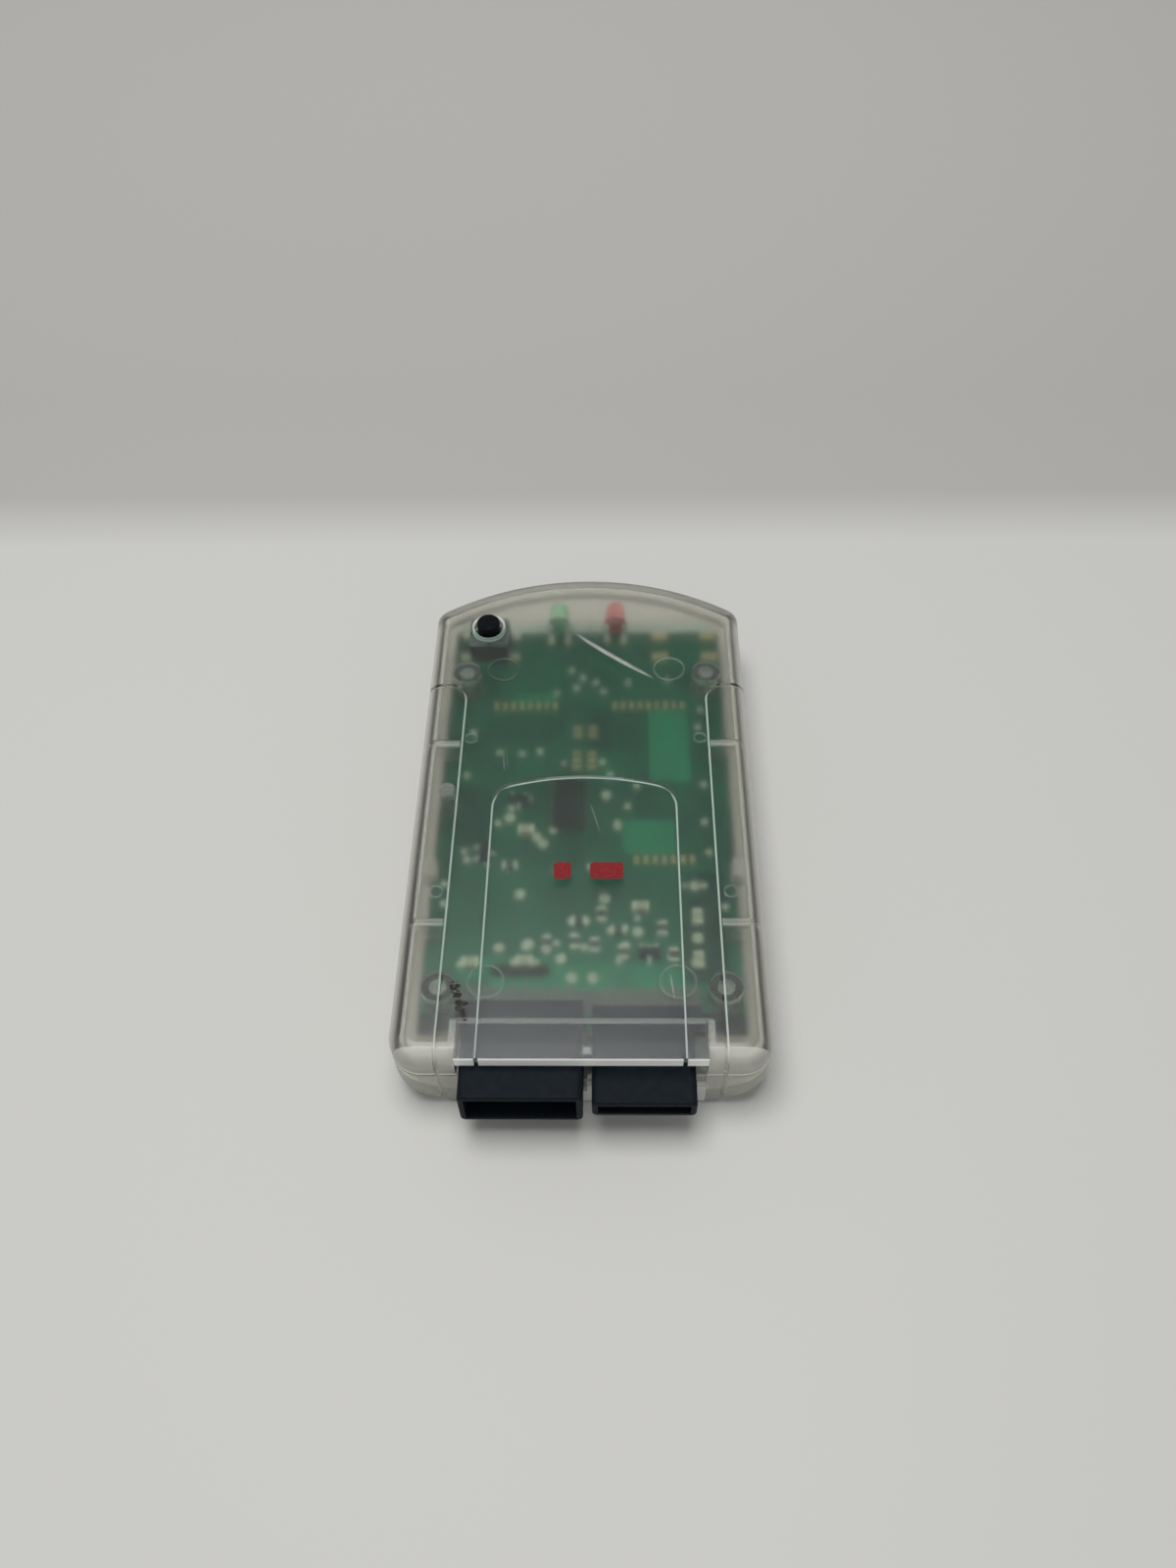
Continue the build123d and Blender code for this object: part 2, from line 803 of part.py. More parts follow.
def gold_pads():
    """Plated pads: under the switch, its empty twin footprint and the lamps, and rows of bare ones."""
    pads = []
    for x, y in switch_legs():
        pads.append(pad(x, y, pad_length, leg_pad_width))
        pads.append(pad(-x, y, twin_pad_length, leg_pad_width))
    lead_y = lamp_base_y - lamp_lead_shoulder - lamp_lead_thickness - lamp_lead_foot / 2
    for lamp_x in lamp_places:
        for step in row(2, lamp_lead_pitch):
            pads.append(pad(lamp_x + step, lead_y, pad_width, pad_length))
    rows = [(first, last, board_far - from_far) for first, last, from_far in far_pad_rows]
    rows += [(first, last, board_near + forward) for first, last, forward in near_pad_rows]
    for first, last, y in rows:
        for x in pitched(first, last):
            pads.append(pad(x, y, small_pad_width, small_pad_length))
    for x, first, last in pad_columns:
        for from_far in pitched(first, last):
            pads.append(pad(x, board_far - from_far, small_pad_length, small_pad_width))
    return Compound(pads)


def solder_joints():
    drop = dome_cap(solder_radius, solder_height)
    return Compound([Pos(x, board_near + forward, board_top) * drop for x, forward in solder_spots])


def chip_body(width, length, height):
    """Moulded package that stands on z = 0 with its lead row's gap below it."""
    body = Box(width, length, height, align=(Align.CENTER, Align.CENTER, Align.MIN))
    body = chamfer(body.edges().group_by(Axis.Z)[-1], chip_edge)
    return Pos(0, 0, chip_standoff) * body


def gull_lead(height, width):
    """Bent lead that leaves a package's side along +X and stands on z = 0."""
    shoulder = chip_standoff + height / 2
    edge = [
        (0, shoulder + lead_thickness),
        (lead_shoulder + lead_thickness, shoulder + lead_thickness),
        (lead_shoulder + lead_thickness, lead_thickness),
        (lead_shoulder + lead_foot, lead_thickness),
        (lead_shoulder + lead_foot, 0),
        (lead_shoulder, 0),
        (lead_shoulder, shoulder),
        (0, shoulder),
    ]
    outline = make_face(Polyline(*edge, close=True))
    return extrude(Plane.XZ * outline, amount=width / 2, both=True)


def lead_row(turn, reach, count, span, height, width):
    """Leads on the side of a package that faces the given turn about Z."""
    lead = gull_lead(height, width)
    return [Rot(0, 0, turn) * Pos(reach, step, 0) * lead for step in row(count, span)]


def above(x, y):
    """Place on the board's front side."""
    return Pos(x, y, board_top)


def below(x, y):
    """Place on the board's back side, upside down."""
    return Pos(x, y, board_bottom) * Rot(0, 180, 0)


def memory_places():
    return [below(side * memory_spacing / 2, board_mid + memory_forward) for side in (-1, 1)]


def memory_chips():
    body = chip_body(memory_width, memory_length, memory_height)
    return Compound([place * body for place in memory_places()])


def memory_leads():
    reach = memory_length / 2
    span = memory_width - 2 * memory_lead_margin
    leads = []
    for turn in (90, 270):
        leads += lead_row(turn, reach, memory_lead_count, span, memory_height, memory_lead_width)
    return Compound([place * lead for place in memory_places() for lead in leads])


def controller_place():
    return below(0, board_mid + controller_forward)


def controller_chip():
    return controller_place() * chip_body(controller_size, controller_size, controller_height)


def controller_leads():
    reach = controller_size / 2
    span = controller_size - 2 * controller_lead_margin
    size = (controller_height, controller_lead_width)
    leads = []
    for turn in (0, 90, 180, 270):
        leads += lead_row(turn, reach, controller_lead_count, span, *size)
    return Compound([controller_place() * lead for lead in leads])


def latch_place():
    return above(latch_shift, board_mid + latch_forward)


def latch_chip():
    return latch_place() * chip_body(latch_width, latch_length, latch_height)


def latch_leads():
    reach = latch_width / 2
    span = latch_length - 2 * latch_lead_margin
    leads = []
    for turn in (0, 180):
        leads += lead_row(turn, reach, latch_lead_count, span, latch_height, latch_lead_width)
    return Compound([latch_place() * lead for lead in leads])


def crystal_place():
    return below(crystal_shift, board_mid + crystal_forward)


def crystal_oval(grow, z0, z1):
    face = SlotOverall(crystal_length + 2 * grow, crystal_width + 2 * grow)
    return extrude(Pos(0, 0, z0) * face, amount=z1 - z0)


def crystal_can():
    can = crystal_oval(0, crystal_base_height, crystal_height)
    return crystal_place() * fillet(can.faces().sort_by(Axis.Z)[-1].edges(), crystal_base_rim)


def crystal_base():
    return crystal_place() * crystal_oval(crystal_base_rim, 0, crystal_base_height)


def tank_place():
    return below(tank_shift, board_mid + tank_forward)


def tank_capacitor():
    body = Box(tank_length, tank_width, tank_height, align=(Align.CENTER, Align.CENTER, Align.MIN))
    body = chamfer(body.edges().group_by(Axis.Z)[-1], chip_edge)
    return tank_place() * Pos(0, 0, tank_terminal_thickness) * body


def tank_terminals():
    """Flat tails folded under the tank capacitor's two ends."""
    end = tank_length / 2
    half = tank_terminal_width / 2
    tail = block(end - tank_terminal_length, end, -half, half, 0, tank_terminal_thickness)
    return Compound([tank_place() * Rot(0, 0, turn) * tail for turn in (0, 180)])


def regulator_place():
    return below(regulator_shift, board_mid + regulator_forward)


def voltage_regulator():
    return regulator_place() * chip_body(regulator_length, regulator_width, regulator_height)


def regulator_leads():
    reach = regulator_width / 2
    span = regulator_length - 2 * regulator_lead_margin
    leads = lead_row(90, reach, regulator_lead_count, span, regulator_height, regulator_lead_width)
    tab = lead_row(270, reach, 1, span, regulator_height, regulator_tab_width)
    return Compound([regulator_place() * lead for lead in leads + tab])


def front_places(across, along):
    places = [above(x, board_near + forward) for x, forward in across]
    return places + [above(x, board_near + forward) * Rot(0, 0, 90) for x, forward in along]


def transistors():
    body = chip_body(transistor_length, transistor_width, transistor_height)
    return Compound([place * body for place in front_places(transistors_across, transistors_along)])


def transistor_leads():
    reach = transistor_width / 2
    span = transistor_length - 2 * transistor_lead_margin
    leads = lead_row(90, reach, 2, span, transistor_height, transistor_lead_width)
    leads += lead_row(270, reach, 1, span, transistor_height, transistor_lead_width)
    places = front_places(transistors_across, transistors_along)
    return Compound([place * lead for place in places for lead in leads])


def chip_bodies(places, length, width, height):
    """Middles of small two-ended chip parts."""
    middle = length / 2 - end_cap_length
    body = block(-middle, middle, -width / 2, width / 2, 0, height)
    return Compound([place * body for place in places])


def chip_ends(places, length, width, height):
    """Metal ends of the same parts."""
    middle = length / 2 - end_cap_length
    cap = block(middle, length / 2, -width / 2, width / 2, 0, height)
    return Compound([place * Rot(0, 0, turn) * cap for place in places for turn in (0, 180)])


resistor_places = front_places(resistors_across, resistors_along)
resistor_size = (resistor_length, resistor_width, resistor_height)
capacitor_places = front_places(capacitors_across, capacitors_along)
capacitor_size = (capacitor_length, capacitor_width, capacitor_height)

nodes = {
    "front_cover": front_cover(),
    "rear_cover": rear_cover(),
    "circuit_board": circuit_board(),
    "left_socket": left_socket(),
    "left_contacts": left_contacts(),
    "right_socket": right_socket(),
    "right_contacts": right_contacts(),
    "switch_base": switch_base(),
    "switch_top_plate": switch_top_plate(),
    "switch_plunger": switch_plunger(),
    "switch_dome": switch_dome(),
    "switch_terminals": switch_terminals(),
    "green_lamp_lens": lamp_lens(lamp_places[0]),
    "green_lamp_leads": lamp_leads(lamp_places[0]),
    "red_lamp_lens": lamp_lens(lamp_places[1]),
    "red_lamp_leads": lamp_leads(lamp_places[1]),
    "gold_pads": gold_pads(),
    "solder_joints": solder_joints(),
    "memory_chips": memory_chips(),
    "memory_leads": memory_leads(),
    "controller_chip": controller_chip(),
    "controller_leads": controller_leads(),
    "latch_chip": latch_chip(),
    "latch_leads": latch_leads(),
    "crystal_can": crystal_can(),
    "crystal_base": crystal_base(),
    "tank_capacitor": tank_capacitor(),
    "tank_terminals": tank_terminals(),
    "voltage_regulator": voltage_regulator(),
    "regulator_leads": regulator_leads(),
    "transistors": transistors(),
    "transistor_leads": transistor_leads(),
    "chip_resistors": chip_bodies(resistor_places, *resistor_size),
    "resistor_end_caps": chip_ends(resistor_places, *resistor_size),
    "ceramic_capacitors": chip_bodies(capacitor_places, *capacitor_size),
    "capacitor_end_caps": chip_ends(capacitor_places, *capacitor_size),
}

os.makedirs("parts", exist_ok=True)
for name, shape in nodes.items():
    export_step(shape, f"parts/{name}.step")
    print(name, round(shape.volume, 3))
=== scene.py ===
# %% [markdown]
# # A clear memory card on a table
# The card is a slim case of frosted clear plastic around a green circuit board. The solids come from the
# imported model, in metres and in their final places. This lesson gives them their finishes, adds what is too
# thin for the solids, such as copper, print and scratches, and lights the card for its picture.

# %% Load the solids
import json
import math
import random

import bmesh
import bpy
from mathutils import Matrix, Vector


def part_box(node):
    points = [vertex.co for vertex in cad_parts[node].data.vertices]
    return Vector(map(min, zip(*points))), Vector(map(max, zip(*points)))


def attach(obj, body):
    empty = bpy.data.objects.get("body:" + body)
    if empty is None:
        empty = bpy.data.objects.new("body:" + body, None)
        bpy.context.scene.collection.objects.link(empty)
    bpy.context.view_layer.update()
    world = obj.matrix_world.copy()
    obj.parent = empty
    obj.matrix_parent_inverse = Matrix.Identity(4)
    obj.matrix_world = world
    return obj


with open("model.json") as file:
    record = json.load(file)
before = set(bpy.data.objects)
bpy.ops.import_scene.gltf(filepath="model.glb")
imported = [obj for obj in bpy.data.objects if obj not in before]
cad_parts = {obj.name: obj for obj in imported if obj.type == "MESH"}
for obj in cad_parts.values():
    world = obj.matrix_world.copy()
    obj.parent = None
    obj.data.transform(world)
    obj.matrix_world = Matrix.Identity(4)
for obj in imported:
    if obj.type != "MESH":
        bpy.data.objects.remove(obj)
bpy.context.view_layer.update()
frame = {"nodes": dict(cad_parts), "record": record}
mm = 0.001

# %% [markdown]
# ## Camera
# The picture is taken from above the sockets, close to the card and with a wide lens, so the near end looks
# larger. A camera could be aimed with a constraint, but three measured angles and a place say the same thing
# and need nothing else in the scene. The sensor's 36 mm lie along the picture's long side.

# %% Camera
picture_height = 1600
focal_pixels = 1248
pitch = math.radians(52.174)
yaw = math.radians(1.877)
roll = math.radians(-1.647)
eye = Vector((3.908, -102.75, 146.89)) * mm

forward = Vector((0, math.cos(pitch), -math.sin(pitch)))
level = Vector((1, 0, 0))
above = level.cross(forward)
picture_x = math.cos(roll) * level + math.sin(roll) * above
picture_y = math.cos(roll) * above - math.sin(roll) * level
aim = Matrix((picture_x, picture_y, -forward)).transposed().to_4x4()

camera_data = bpy.data.cameras.new("camera")
camera_data.sensor_width = 36
camera_data.lens = camera_data.sensor_width * focal_pixels / picture_height
camera_data.clip_start = 0.005
camera = bpy.data.objects.new("camera", camera_data)
camera.matrix_world = Matrix.Translation(eye) @ Matrix.Rotation(yaw, 4, "Z") @ aim
bpy.context.scene.collection.objects.link(camera)
bpy.context.scene.camera = camera
print("lens in mm:", round(camera_data.lens, 2))

# %% [markdown]
# ## Helpers for finishes
# Every finish here is one Principled shader with a few texture nodes in front of it. The textures read Object
# coordinates, which are metres in the card's own frame, so a scale of 4000 makes grains of a quarter of a
# millimetre. Small helpers keep the node trees short: they add noise, map and mix values, vary a colour or a
# roughness, and raise bumps.

# %% Finish helpers
def new_finish(name, colour, roughness, **sockets):
    """A material with one Principled shader, its plain values set on its own sockets."""
    material = bpy.data.materials.new(name)
    material.use_nodes = True
    shader = material.node_tree.nodes["Principled BSDF"]
    shader.inputs["Base Color"].default_value = (*colour, 1)
    shader.inputs["Roughness"].default_value = roughness
    for socket, value in sockets.items():
        shader.inputs[socket.replace("_", " ")].default_value = value
    return material


def add_node(material, kind, **values):
    """A node with some of its inputs set by name."""
    node = material.node_tree.nodes.new(kind)
    for socket, value in values.items():
        node.inputs[socket].default_value = value
    return node


def link(material, output, socket):
    material.node_tree.links.new(output, socket)


def shader_of(material):
    return material.node_tree.nodes["Principled BSDF"]


def place_in_card(material):
    """Object coordinates of the point that is shaded."""
    return add_node(material, "ShaderNodeTexCoord").outputs["Object"]


def card_axes(material):
    """The same coordinates, as one output for each axis."""
    axes = add_node(material, "ShaderNodeSeparateXYZ")
    link(material, place_in_card(material), axes.inputs["Vector"])
    return [axes.outputs[axis] for axis in "XYZ"]


def grain(material, scale, detail=2.0, stretch=(1, 1, 1)):
    """Noise from about 0 to 1, with its grains stretched along the axes."""
    mapping = add_node(material, "ShaderNodeMapping")
    mapping.inputs["Scale"].default_value = [1 / s for s in stretch]
    link(material, place_in_card(material), mapping.inputs["Vector"])
    noise = add_node(material, "ShaderNodeTexNoise", Scale=scale, Detail=detail)
    link(material, mapping.outputs["Vector"], noise.inputs["Vector"])
    return noise.outputs["Fac"]


def spread(material, value, low, high, to_low=0.0, to_high=1.0):
    """Map a value's useful part to a new range, clamped at both ends."""
    node = add_node(material, "ShaderNodeMapRange")
    node.inputs["From Min"].default_value = low
    node.inputs["From Max"].default_value = high
    node.inputs["To Min"].default_value = to_low
    node.inputs["To Max"].default_value = to_high
    link(material, value, node.inputs["Value"])
    return node.outputs["Result"]


def calculate(material, operation, first, second=None):
    """One Math node on outputs or plain numbers."""
    node = material.node_tree.nodes.new("ShaderNodeMath")
    node.operation = operation
    for socket, value in zip(node.inputs, (first, second)):
        if isinstance(value, (int, float)):
            socket.default_value = value
        elif value is not None:
            link(material, value, socket)
    return node.outputs[0]


def mix_values(material, factor, first, second):
    """Blend two numbers, each plain or another node's output."""
    node = material.node_tree.nodes.new("ShaderNodeMix")
    link(material, factor, node.inputs["Factor"])
    for socket, value in ((node.inputs[2], first), (node.inputs[3], second)):
        if isinstance(value, (int, float)):
            socket.default_value = value
        else:
            link(material, value, socket)
    return node.outputs[0]


def mix_colours(material, factor, first, second):
    """Blend two colours, each a tuple or another node's output."""
    node = material.node_tree.nodes.new("ShaderNodeMix")
    node.data_type = "RGBA"
    link(material, factor, node.inputs["Factor"])
    for socket, colour in ((node.inputs[6], first), (node.inputs[7], second)):
        if isinstance(colour, tuple):
            socket.default_value = (*colour, 1)
        else:
            link(material, colour, socket)
    return node.outputs[2]


def mottle(material, scale, first, second, detail=3.0, stretch=(1, 1, 1)):
    """Vary the base colour between two close tones."""
    factor = spread(material, grain(material, scale, detail, stretch), 0.35, 0.65)
    link(material, mix_colours(material, factor, first, second), shader_of(material).inputs["Base Color"])


def roughen(material, scale, low, high, detail=2.0, stretch=(1, 1, 1)):
    """Vary the roughness between two values."""
    value = spread(material, grain(material, scale, detail, stretch), 0.35, 0.65, low, high)
    link(material, value, shader_of(material).inputs["Roughness"])


def emboss(material, scale, depth, strength=1.0, detail=2.0, stretch=(1, 1, 1)):
    """Raise a fine grain out of the surface; the depth is in metres."""
    bump = add_node(material, "ShaderNodeBump", Strength=strength, Distance=depth)
    link(material, grain(material, scale, detail, stretch), bump.inputs["Height"])
    link(material, bump.outputs["Normal"], shader_of(material).inputs["Normal"])


print("helpers ready")

# %% [markdown]
# ## Frosted plastic
# The covers are clear plastic whose outside was moulded against an etched steel surface. Light bends
# through the outside in many directions, so what lies against the wall is sharp and what lies deep is
# blurred. The covers are real walls with a thickness, so plain rough transmission gives that by itself.
# Light that enters a wall edge-on travels far in the plastic and is scattered on its way, so walls look a
# little milky, and ribs and bosses more so. The outer sides of the panel lines are painted almost white as a
# painted highlight, and a few more patches on the face are painted light. Masks made from the card's own
# coordinates tell these places apart and set how much light passes.

# %% Places in the covers
inside_half = 21.85 * mm
inside_near = -38.15 * mm
inside_arch = 38.06 * mm
arch_centre = 4.09 * mm
board_level, foot_level, root_level, roof_level = 6.9 * mm, 7.1 * mm, 9.75 * mm, 10.8 * mm
key_low, parting_level, key_high, parting_top = 8.1 * mm, 8.2 * mm, 8.3 * mm, 8.6 * mm
ring_low, ring_high = 10.88 * mm, 11.3 * mm
line_low, line_high, top_level = 11.9 * mm, 12.46 * mm, 12.48 * mm
lip_front, lip_middle, lip_half = -39.7 * mm, 0.1 * mm, 15.25 * mm
mask_edge = 0.02 * mm


def past(material, value, edge, ramp=mask_edge):
    """1 where a value is past an edge and 0 before it, with a ramp between."""
    return spread(material, value, edge - ramp / 2, edge + ramp / 2)


def short_of(material, value, edge, ramp=mask_edge):
    """1 where a value is short of an edge and 0 past it."""
    return spread(material, value, edge - ramp / 2, edge + ramp / 2, 1, 0)


def both(material, first, second):
    return calculate(material, "MULTIPLY", first, second)


def band(material, value, low, high, ramp=mask_edge):
    """1 where a value is between two edges."""
    return both(material, past(material, value, low, ramp), short_of(material, value, high, ramp))


def distance(material, first, second):
    """Length of the line across two lengths at right angles."""
    squares = [calculate(material, "POWER", length, 2) for length in (first, second)]
    return calculate(material, "SQRT", calculate(material, "ADD", *squares))


def apart(material, value, place):
    """How far a coordinate is from a place, either way."""
    return calculate(material, "ABSOLUTE", calculate(material, "SUBTRACT", value, place))


clear_tone = (0.95, 0.945, 0.885)
frosted = new_finish("frosted_case", clear_tone, 0.27, IOR=1.5, Specular_IOR_Level=0.25)
card_x, card_y, card_z = card_axes(frosted)
from_middle = calculate(frosted, "ABSOLUTE", card_x)
print("hollow from", round(inside_near / mm, 2), "to", round((arch_centre + inside_arch) / mm, 2))

# %% [markdown]
# ### Distance from the walls
# The hollow of the case has straight sides, a straight near end and an arched far end. The smallest of the
# three distances to them tells how far inside the walls a point is, and it is negative within a wall.

# %% Distance from the walls
wall_skin = 0.1 * mm
beyond = calculate(frosted, "MAXIMUM", calculate(frosted, "SUBTRACT", card_y, arch_centre), 0)
from_arch = calculate(frosted, "SUBTRACT", inside_arch, distance(frosted, card_x, beyond))
from_side = calculate(frosted, "SUBTRACT", inside_half, from_middle)
from_near = calculate(frosted, "SUBTRACT", card_y, inside_near)
inward = calculate(frosted, "MINIMUM", calculate(frosted, "MINIMUM", from_arch, from_side), from_near)
within_walls = past(frosted, inward, wall_skin)
at_far_wall = short_of(frosted, from_arch, wall_skin)
in_lip = short_of(frosted, apart(frosted, card_x, lip_middle), lip_half)
beside_lip = calculate(frosted, "SUBTRACT", 1, in_lip)
at_near_wall = both(frosted, short_of(frosted, from_near, wall_skin), beside_lip)
print("wall masks:", len(frosted.node_tree.nodes), "nodes")

# %% [markdown]
# ### Panel lines
# A line follows the rounded outline of a panel. Two distances, to the panel's long edge and to its far edge,
# give the distance to that outline, corner included. Each line is painted milky only on the side away from
# the card's middle, a painted highlight on the slope of the groove that catches the light.

# %% Panel lines
side_line, side_far, side_corner = 17.5 * mm, 20.2 * mm, 2.7 * mm
centre_line, centre_far, centre_rise, centre_corner = 12.5 * mm, 2.8 * mm, 2.1 * mm, 2.6 * mm
bright_from, bright_to = 0.06 * mm, 0.3 * mm
line_end = -2.2 * mm


def outside_panel(past_long_edge, past_far_edge, corner):
    """Distance out of a panel with a rounded corner, from the distances past its two edges."""
    parts = []
    for past_edge in (past_long_edge, past_far_edge):
        inset = calculate(frosted, "ADD", past_edge, corner)
        parts.append(calculate(frosted, "MAXIMUM", inset, 0))
    return calculate(frosted, "SUBTRACT", distance(frosted, *parts), corner)


square_x = calculate(frosted, "POWER", card_x, 2)
arch_drop = calculate(frosted, "MULTIPLY", square_x, centre_rise / centre_line**2)
past_arch = calculate(frosted, "SUBTRACT", calculate(frosted, "ADD", card_y, arch_drop), centre_far)
past_centre = calculate(frosted, "SUBTRACT", from_middle, centre_line)
past_side = calculate(frosted, "SUBTRACT", side_line, from_middle)
past_side_far = calculate(frosted, "SUBTRACT", card_y, side_far)
out_of_centre = outside_panel(past_centre, past_arch, centre_corner)
out_of_side = outside_panel(past_side, past_side_far, side_corner)
around_centre = band(frosted, out_of_centre, bright_from, bright_to)
around_sides = band(frosted, out_of_side, -bright_to, -bright_from)
bright_lines = calculate(frosted, "MAXIMUM", around_centre, around_sides)
line_heights = calculate(frosted, "MAXIMUM", band(frosted, card_z, line_low, line_high), at_near_wall)
in_line = both(frosted, both(frosted, bright_lines, line_heights), past(frosted, inward, line_end))
print("line masks:", len(frosted.node_tree.nodes), "nodes")

# %% [markdown]
# ### Bosses, ribs and posts
# Above a boss, the peg, a rib or a post the plastic is thick, and the face is painted paler there: partly
# real scattering in the thick plastic, partly painted light that stands for the pale, lit look of these forms
# seen through the face. These patches are fitted to the photo's angle: they are fixed on the face, 0.6 to 1.2
# mm nearer the sockets than the forms below them. The bore in the middle of each boss stays nearly clear.

# %% Bosses, ribs and posts
boss_x, boss_far, boss_near, boss_radius = 18.0 * mm, 22.9 * mm, -30.0 * mm, 2.2 * mm
bore_far, bore_near, bore_radius = 23.75 * mm, -29.4 * mm, 1.3 * mm
peg_x, peg_y, peg_radius = -19.2 * mm, 0.6 * mm, 1.2 * mm
rib_inner, rib_far, rib_near, rib_half = 17.9 * mm, 8.9 * mm, -20.8 * mm, 0.5 * mm
post_outer, post_far = 16.1 * mm, -34.6 * mm
round_ramp, rib_ramp = 0.4 * mm, 0.2 * mm


def from_rows(far, near):
    """Distance to the closer of two rows across the card."""
    return calculate(frosted, "MINIMUM", apart(frosted, card_y, far), apart(frosted, card_y, near))


from_boss = distance(frosted, apart(frosted, from_middle, boss_x), from_rows(boss_far, boss_near))
from_bore = distance(frosted, apart(frosted, from_middle, boss_x), from_rows(bore_far, bore_near))
from_peg = distance(frosted, apart(frosted, card_x, peg_x), apart(frosted, card_y, peg_y))
over_boss = short_of(frosted, from_boss, boss_radius, round_ramp)
over_peg = short_of(frosted, from_peg, peg_radius, round_ramp)
in_bore = short_of(frosted, from_bore, bore_radius)
in_rib_row = short_of(frosted, from_rows(rib_far, rib_near), rib_half, rib_ramp)
at_ribs = both(frosted, in_rib_row, past(frosted, from_middle, rib_inner))
beside_post = short_of(frosted, apart(frosted, card_x, lip_middle), post_outer)
at_posts = both(frosted, both(frosted, beside_lip, beside_post), short_of(frosted, card_y, post_far))
over_rib = calculate(frosted, "MAXIMUM", at_ribs, at_posts)
print("form masks:", len(frosted.node_tree.nodes), "nodes")

# %% [markdown]
# ### Roof, hole and lip
# The roof is the flat part over the hollow, and the lip carries it out over the sockets. Masks mark the wall
# of the button hole, the lip's cut front edge, the near part of the lip's face, and a small patch of that
# face over the gap between the two sockets. The near part of the lip's face is painted a little paler and the
# patch over the gap is a painted bright spot where light comes up between the two sockets; both are painted
# light.

# %% Roof, hole and lip
hole_x, hole_y, hole_radius = -15.2 * mm, 32.6 * mm, 2.6 * mm
pale_from, pale_ramp = -37.6 * mm, 0.25 * mm
gap_left, gap_right, gap_near, gap_far = 0.2 * mm, 1.3 * mm, -39.1 * mm, -38.1 * mm
gap_ramp = 0.3 * mm

in_roof = past(frosted, card_z, roof_level)
below_roof = calculate(frosted, "SUBTRACT", 1, in_roof)
on_top = past(frosted, card_z, top_level)
on_face = both(frosted, within_walls, on_top)
from_hole = distance(frosted, apart(frosted, card_x, hole_x), apart(frosted, card_y, hole_y))
below_face = both(frosted, in_roof, short_of(frosted, card_z, top_level))
in_hole = both(frosted, short_of(frosted, from_hole, hole_radius), below_face)
in_lip_roof = both(frosted, in_lip, in_roof)
on_lip_front = both(frosted, in_lip_roof, short_of(frosted, card_y, lip_front))
on_lip_face = both(frosted, in_lip, on_top)
pale_band = short_of(frosted, card_y, pale_from, pale_ramp)
over_gap = both(
    frosted,
    band(frosted, card_x, gap_left, gap_right, gap_ramp),
    band(frosted, card_y, gap_near, gap_far, gap_ramp),
)
print("roof masks:", len(frosted.node_tree.nodes), "nodes")

# %% [markdown]
# ### Walls and the arched end
# The outer skin of a wall and its inner face are milky, and less so toward the arched end. The ceiling has
# shallow rings, and the far left ones are kept clear.

# %% Walls and the arched end
skin_edge, skin_ramp = -0.8 * mm, 0.9 * mm
inner_face = 0.15 * mm
arch_from, arch_ramp = 34 * mm, 3 * mm
far_rings_from = 20 * mm

outermost = short_of(frosted, inward, skin_edge, skin_ramp)
at_inner_wall = both(frosted, band(frosted, inward, -inner_face, inner_face), below_roof)
toward_arch = past(frosted, card_y, arch_from, arch_ramp)
at_far_left = both(frosted, past(frosted, card_y, far_rings_from), short_of(frosted, card_x, 0))
print("wall masks:", len(frosted.node_tree.nodes), "nodes")

# %% [markdown]
# ### How much light passes
# A share of 1 lets all light pass and 0 lets none. Each part of the case starts from one share, and masks put
# others over it in turn, as coats of paint go on. The roof passes most, less toward the walls. Ribs and
# bosses are milky at their roots and where they stand on the board. The lip's cut edge is painted the
# whitest, a painted glow for light carried along the lip plate to its edge, and the edge along the parting is
# nearly as white. The panel lines, the patches over the bosses, peg, ribs and posts, and two patches on the
# lip's face are painted light too.

# %% How much light passes
rim_width = 2.4 * mm
lip_offset = 10 * mm


def layered(share, layers):
    """Put each layer's own share of light over a first one, where the layer's mask is 1."""
    for mask, layer_share in layers:
        share = mix_values(frosted, mask, share, layer_share)
    return share


from_rim = calculate(frosted, "ADD", inward, calculate(frosted, "MULTIPLY", in_lip, lip_offset))
clear_roof = spread(frosted, from_rim, wall_skin, rim_width, 0.89, 1.0)
inner = layered(mix_values(frosted, toward_arch, 0.7, 0.5), (
    (past(frosted, card_z, board_level), 0.4),
    (past(frosted, card_z, foot_level), 0.85),
    (band(frosted, card_z, key_low, key_high), 0.7),
    (past(frosted, card_z, root_level), 0.6),
    (both(frosted, in_bore, past(frosted, card_z, foot_level)), 0.94),
    (in_roof, mix_values(frosted, toward_arch, clear_roof, 0.92)),
    (in_hole, 0.2),
    (band(frosted, card_z, ring_low, ring_high), mix_values(frosted, at_far_left, 0.82, 1.0)),
))
outer = layered(mix_values(frosted, at_far_wall, 0.95, 0.88), (
    (outermost, mix_values(frosted, toward_arch, 0.5, 0.82)),
    (at_inner_wall, mix_values(frosted, toward_arch, 0.5, 0.8)),
    (at_near_wall, mix_values(frosted, past(frosted, card_z, parting_level), 0.78, 0.6)),
    (in_lip_roof, 1.0),
    (band(frosted, card_z, parting_level, parting_top), 0.2),
))
passing = layered(mix_values(frosted, within_walls, outer, inner), (
    # painted light: pale patches on the face over the bosses and the peg
    (both(frosted, over_boss, on_face), 0.93),
    (both(frosted, over_peg, on_face), 0.82),
    # painted light: a paler near strip of the lip's face and a bright spot over the gap between the sockets
    (both(frosted, pale_band, on_lip_face), 0.97),
    (both(frosted, over_gap, on_lip_face), 0.72),
    # painted light: pale patches on the face over the ribs and posts
    (both(frosted, over_rib, on_face), 0.78),
    # painted highlight: the outer side of each panel line is made almost white
    (in_line, 0.45),
    # painted glow: the lip's cut edge lets no light pass, so it shows white
    (on_lip_front, 0.0),
))
link(frosted, passing, shader_of(frosted).inputs["Transmission Weight"])
print("light layers:", len(frosted.node_tree.nodes), "nodes")
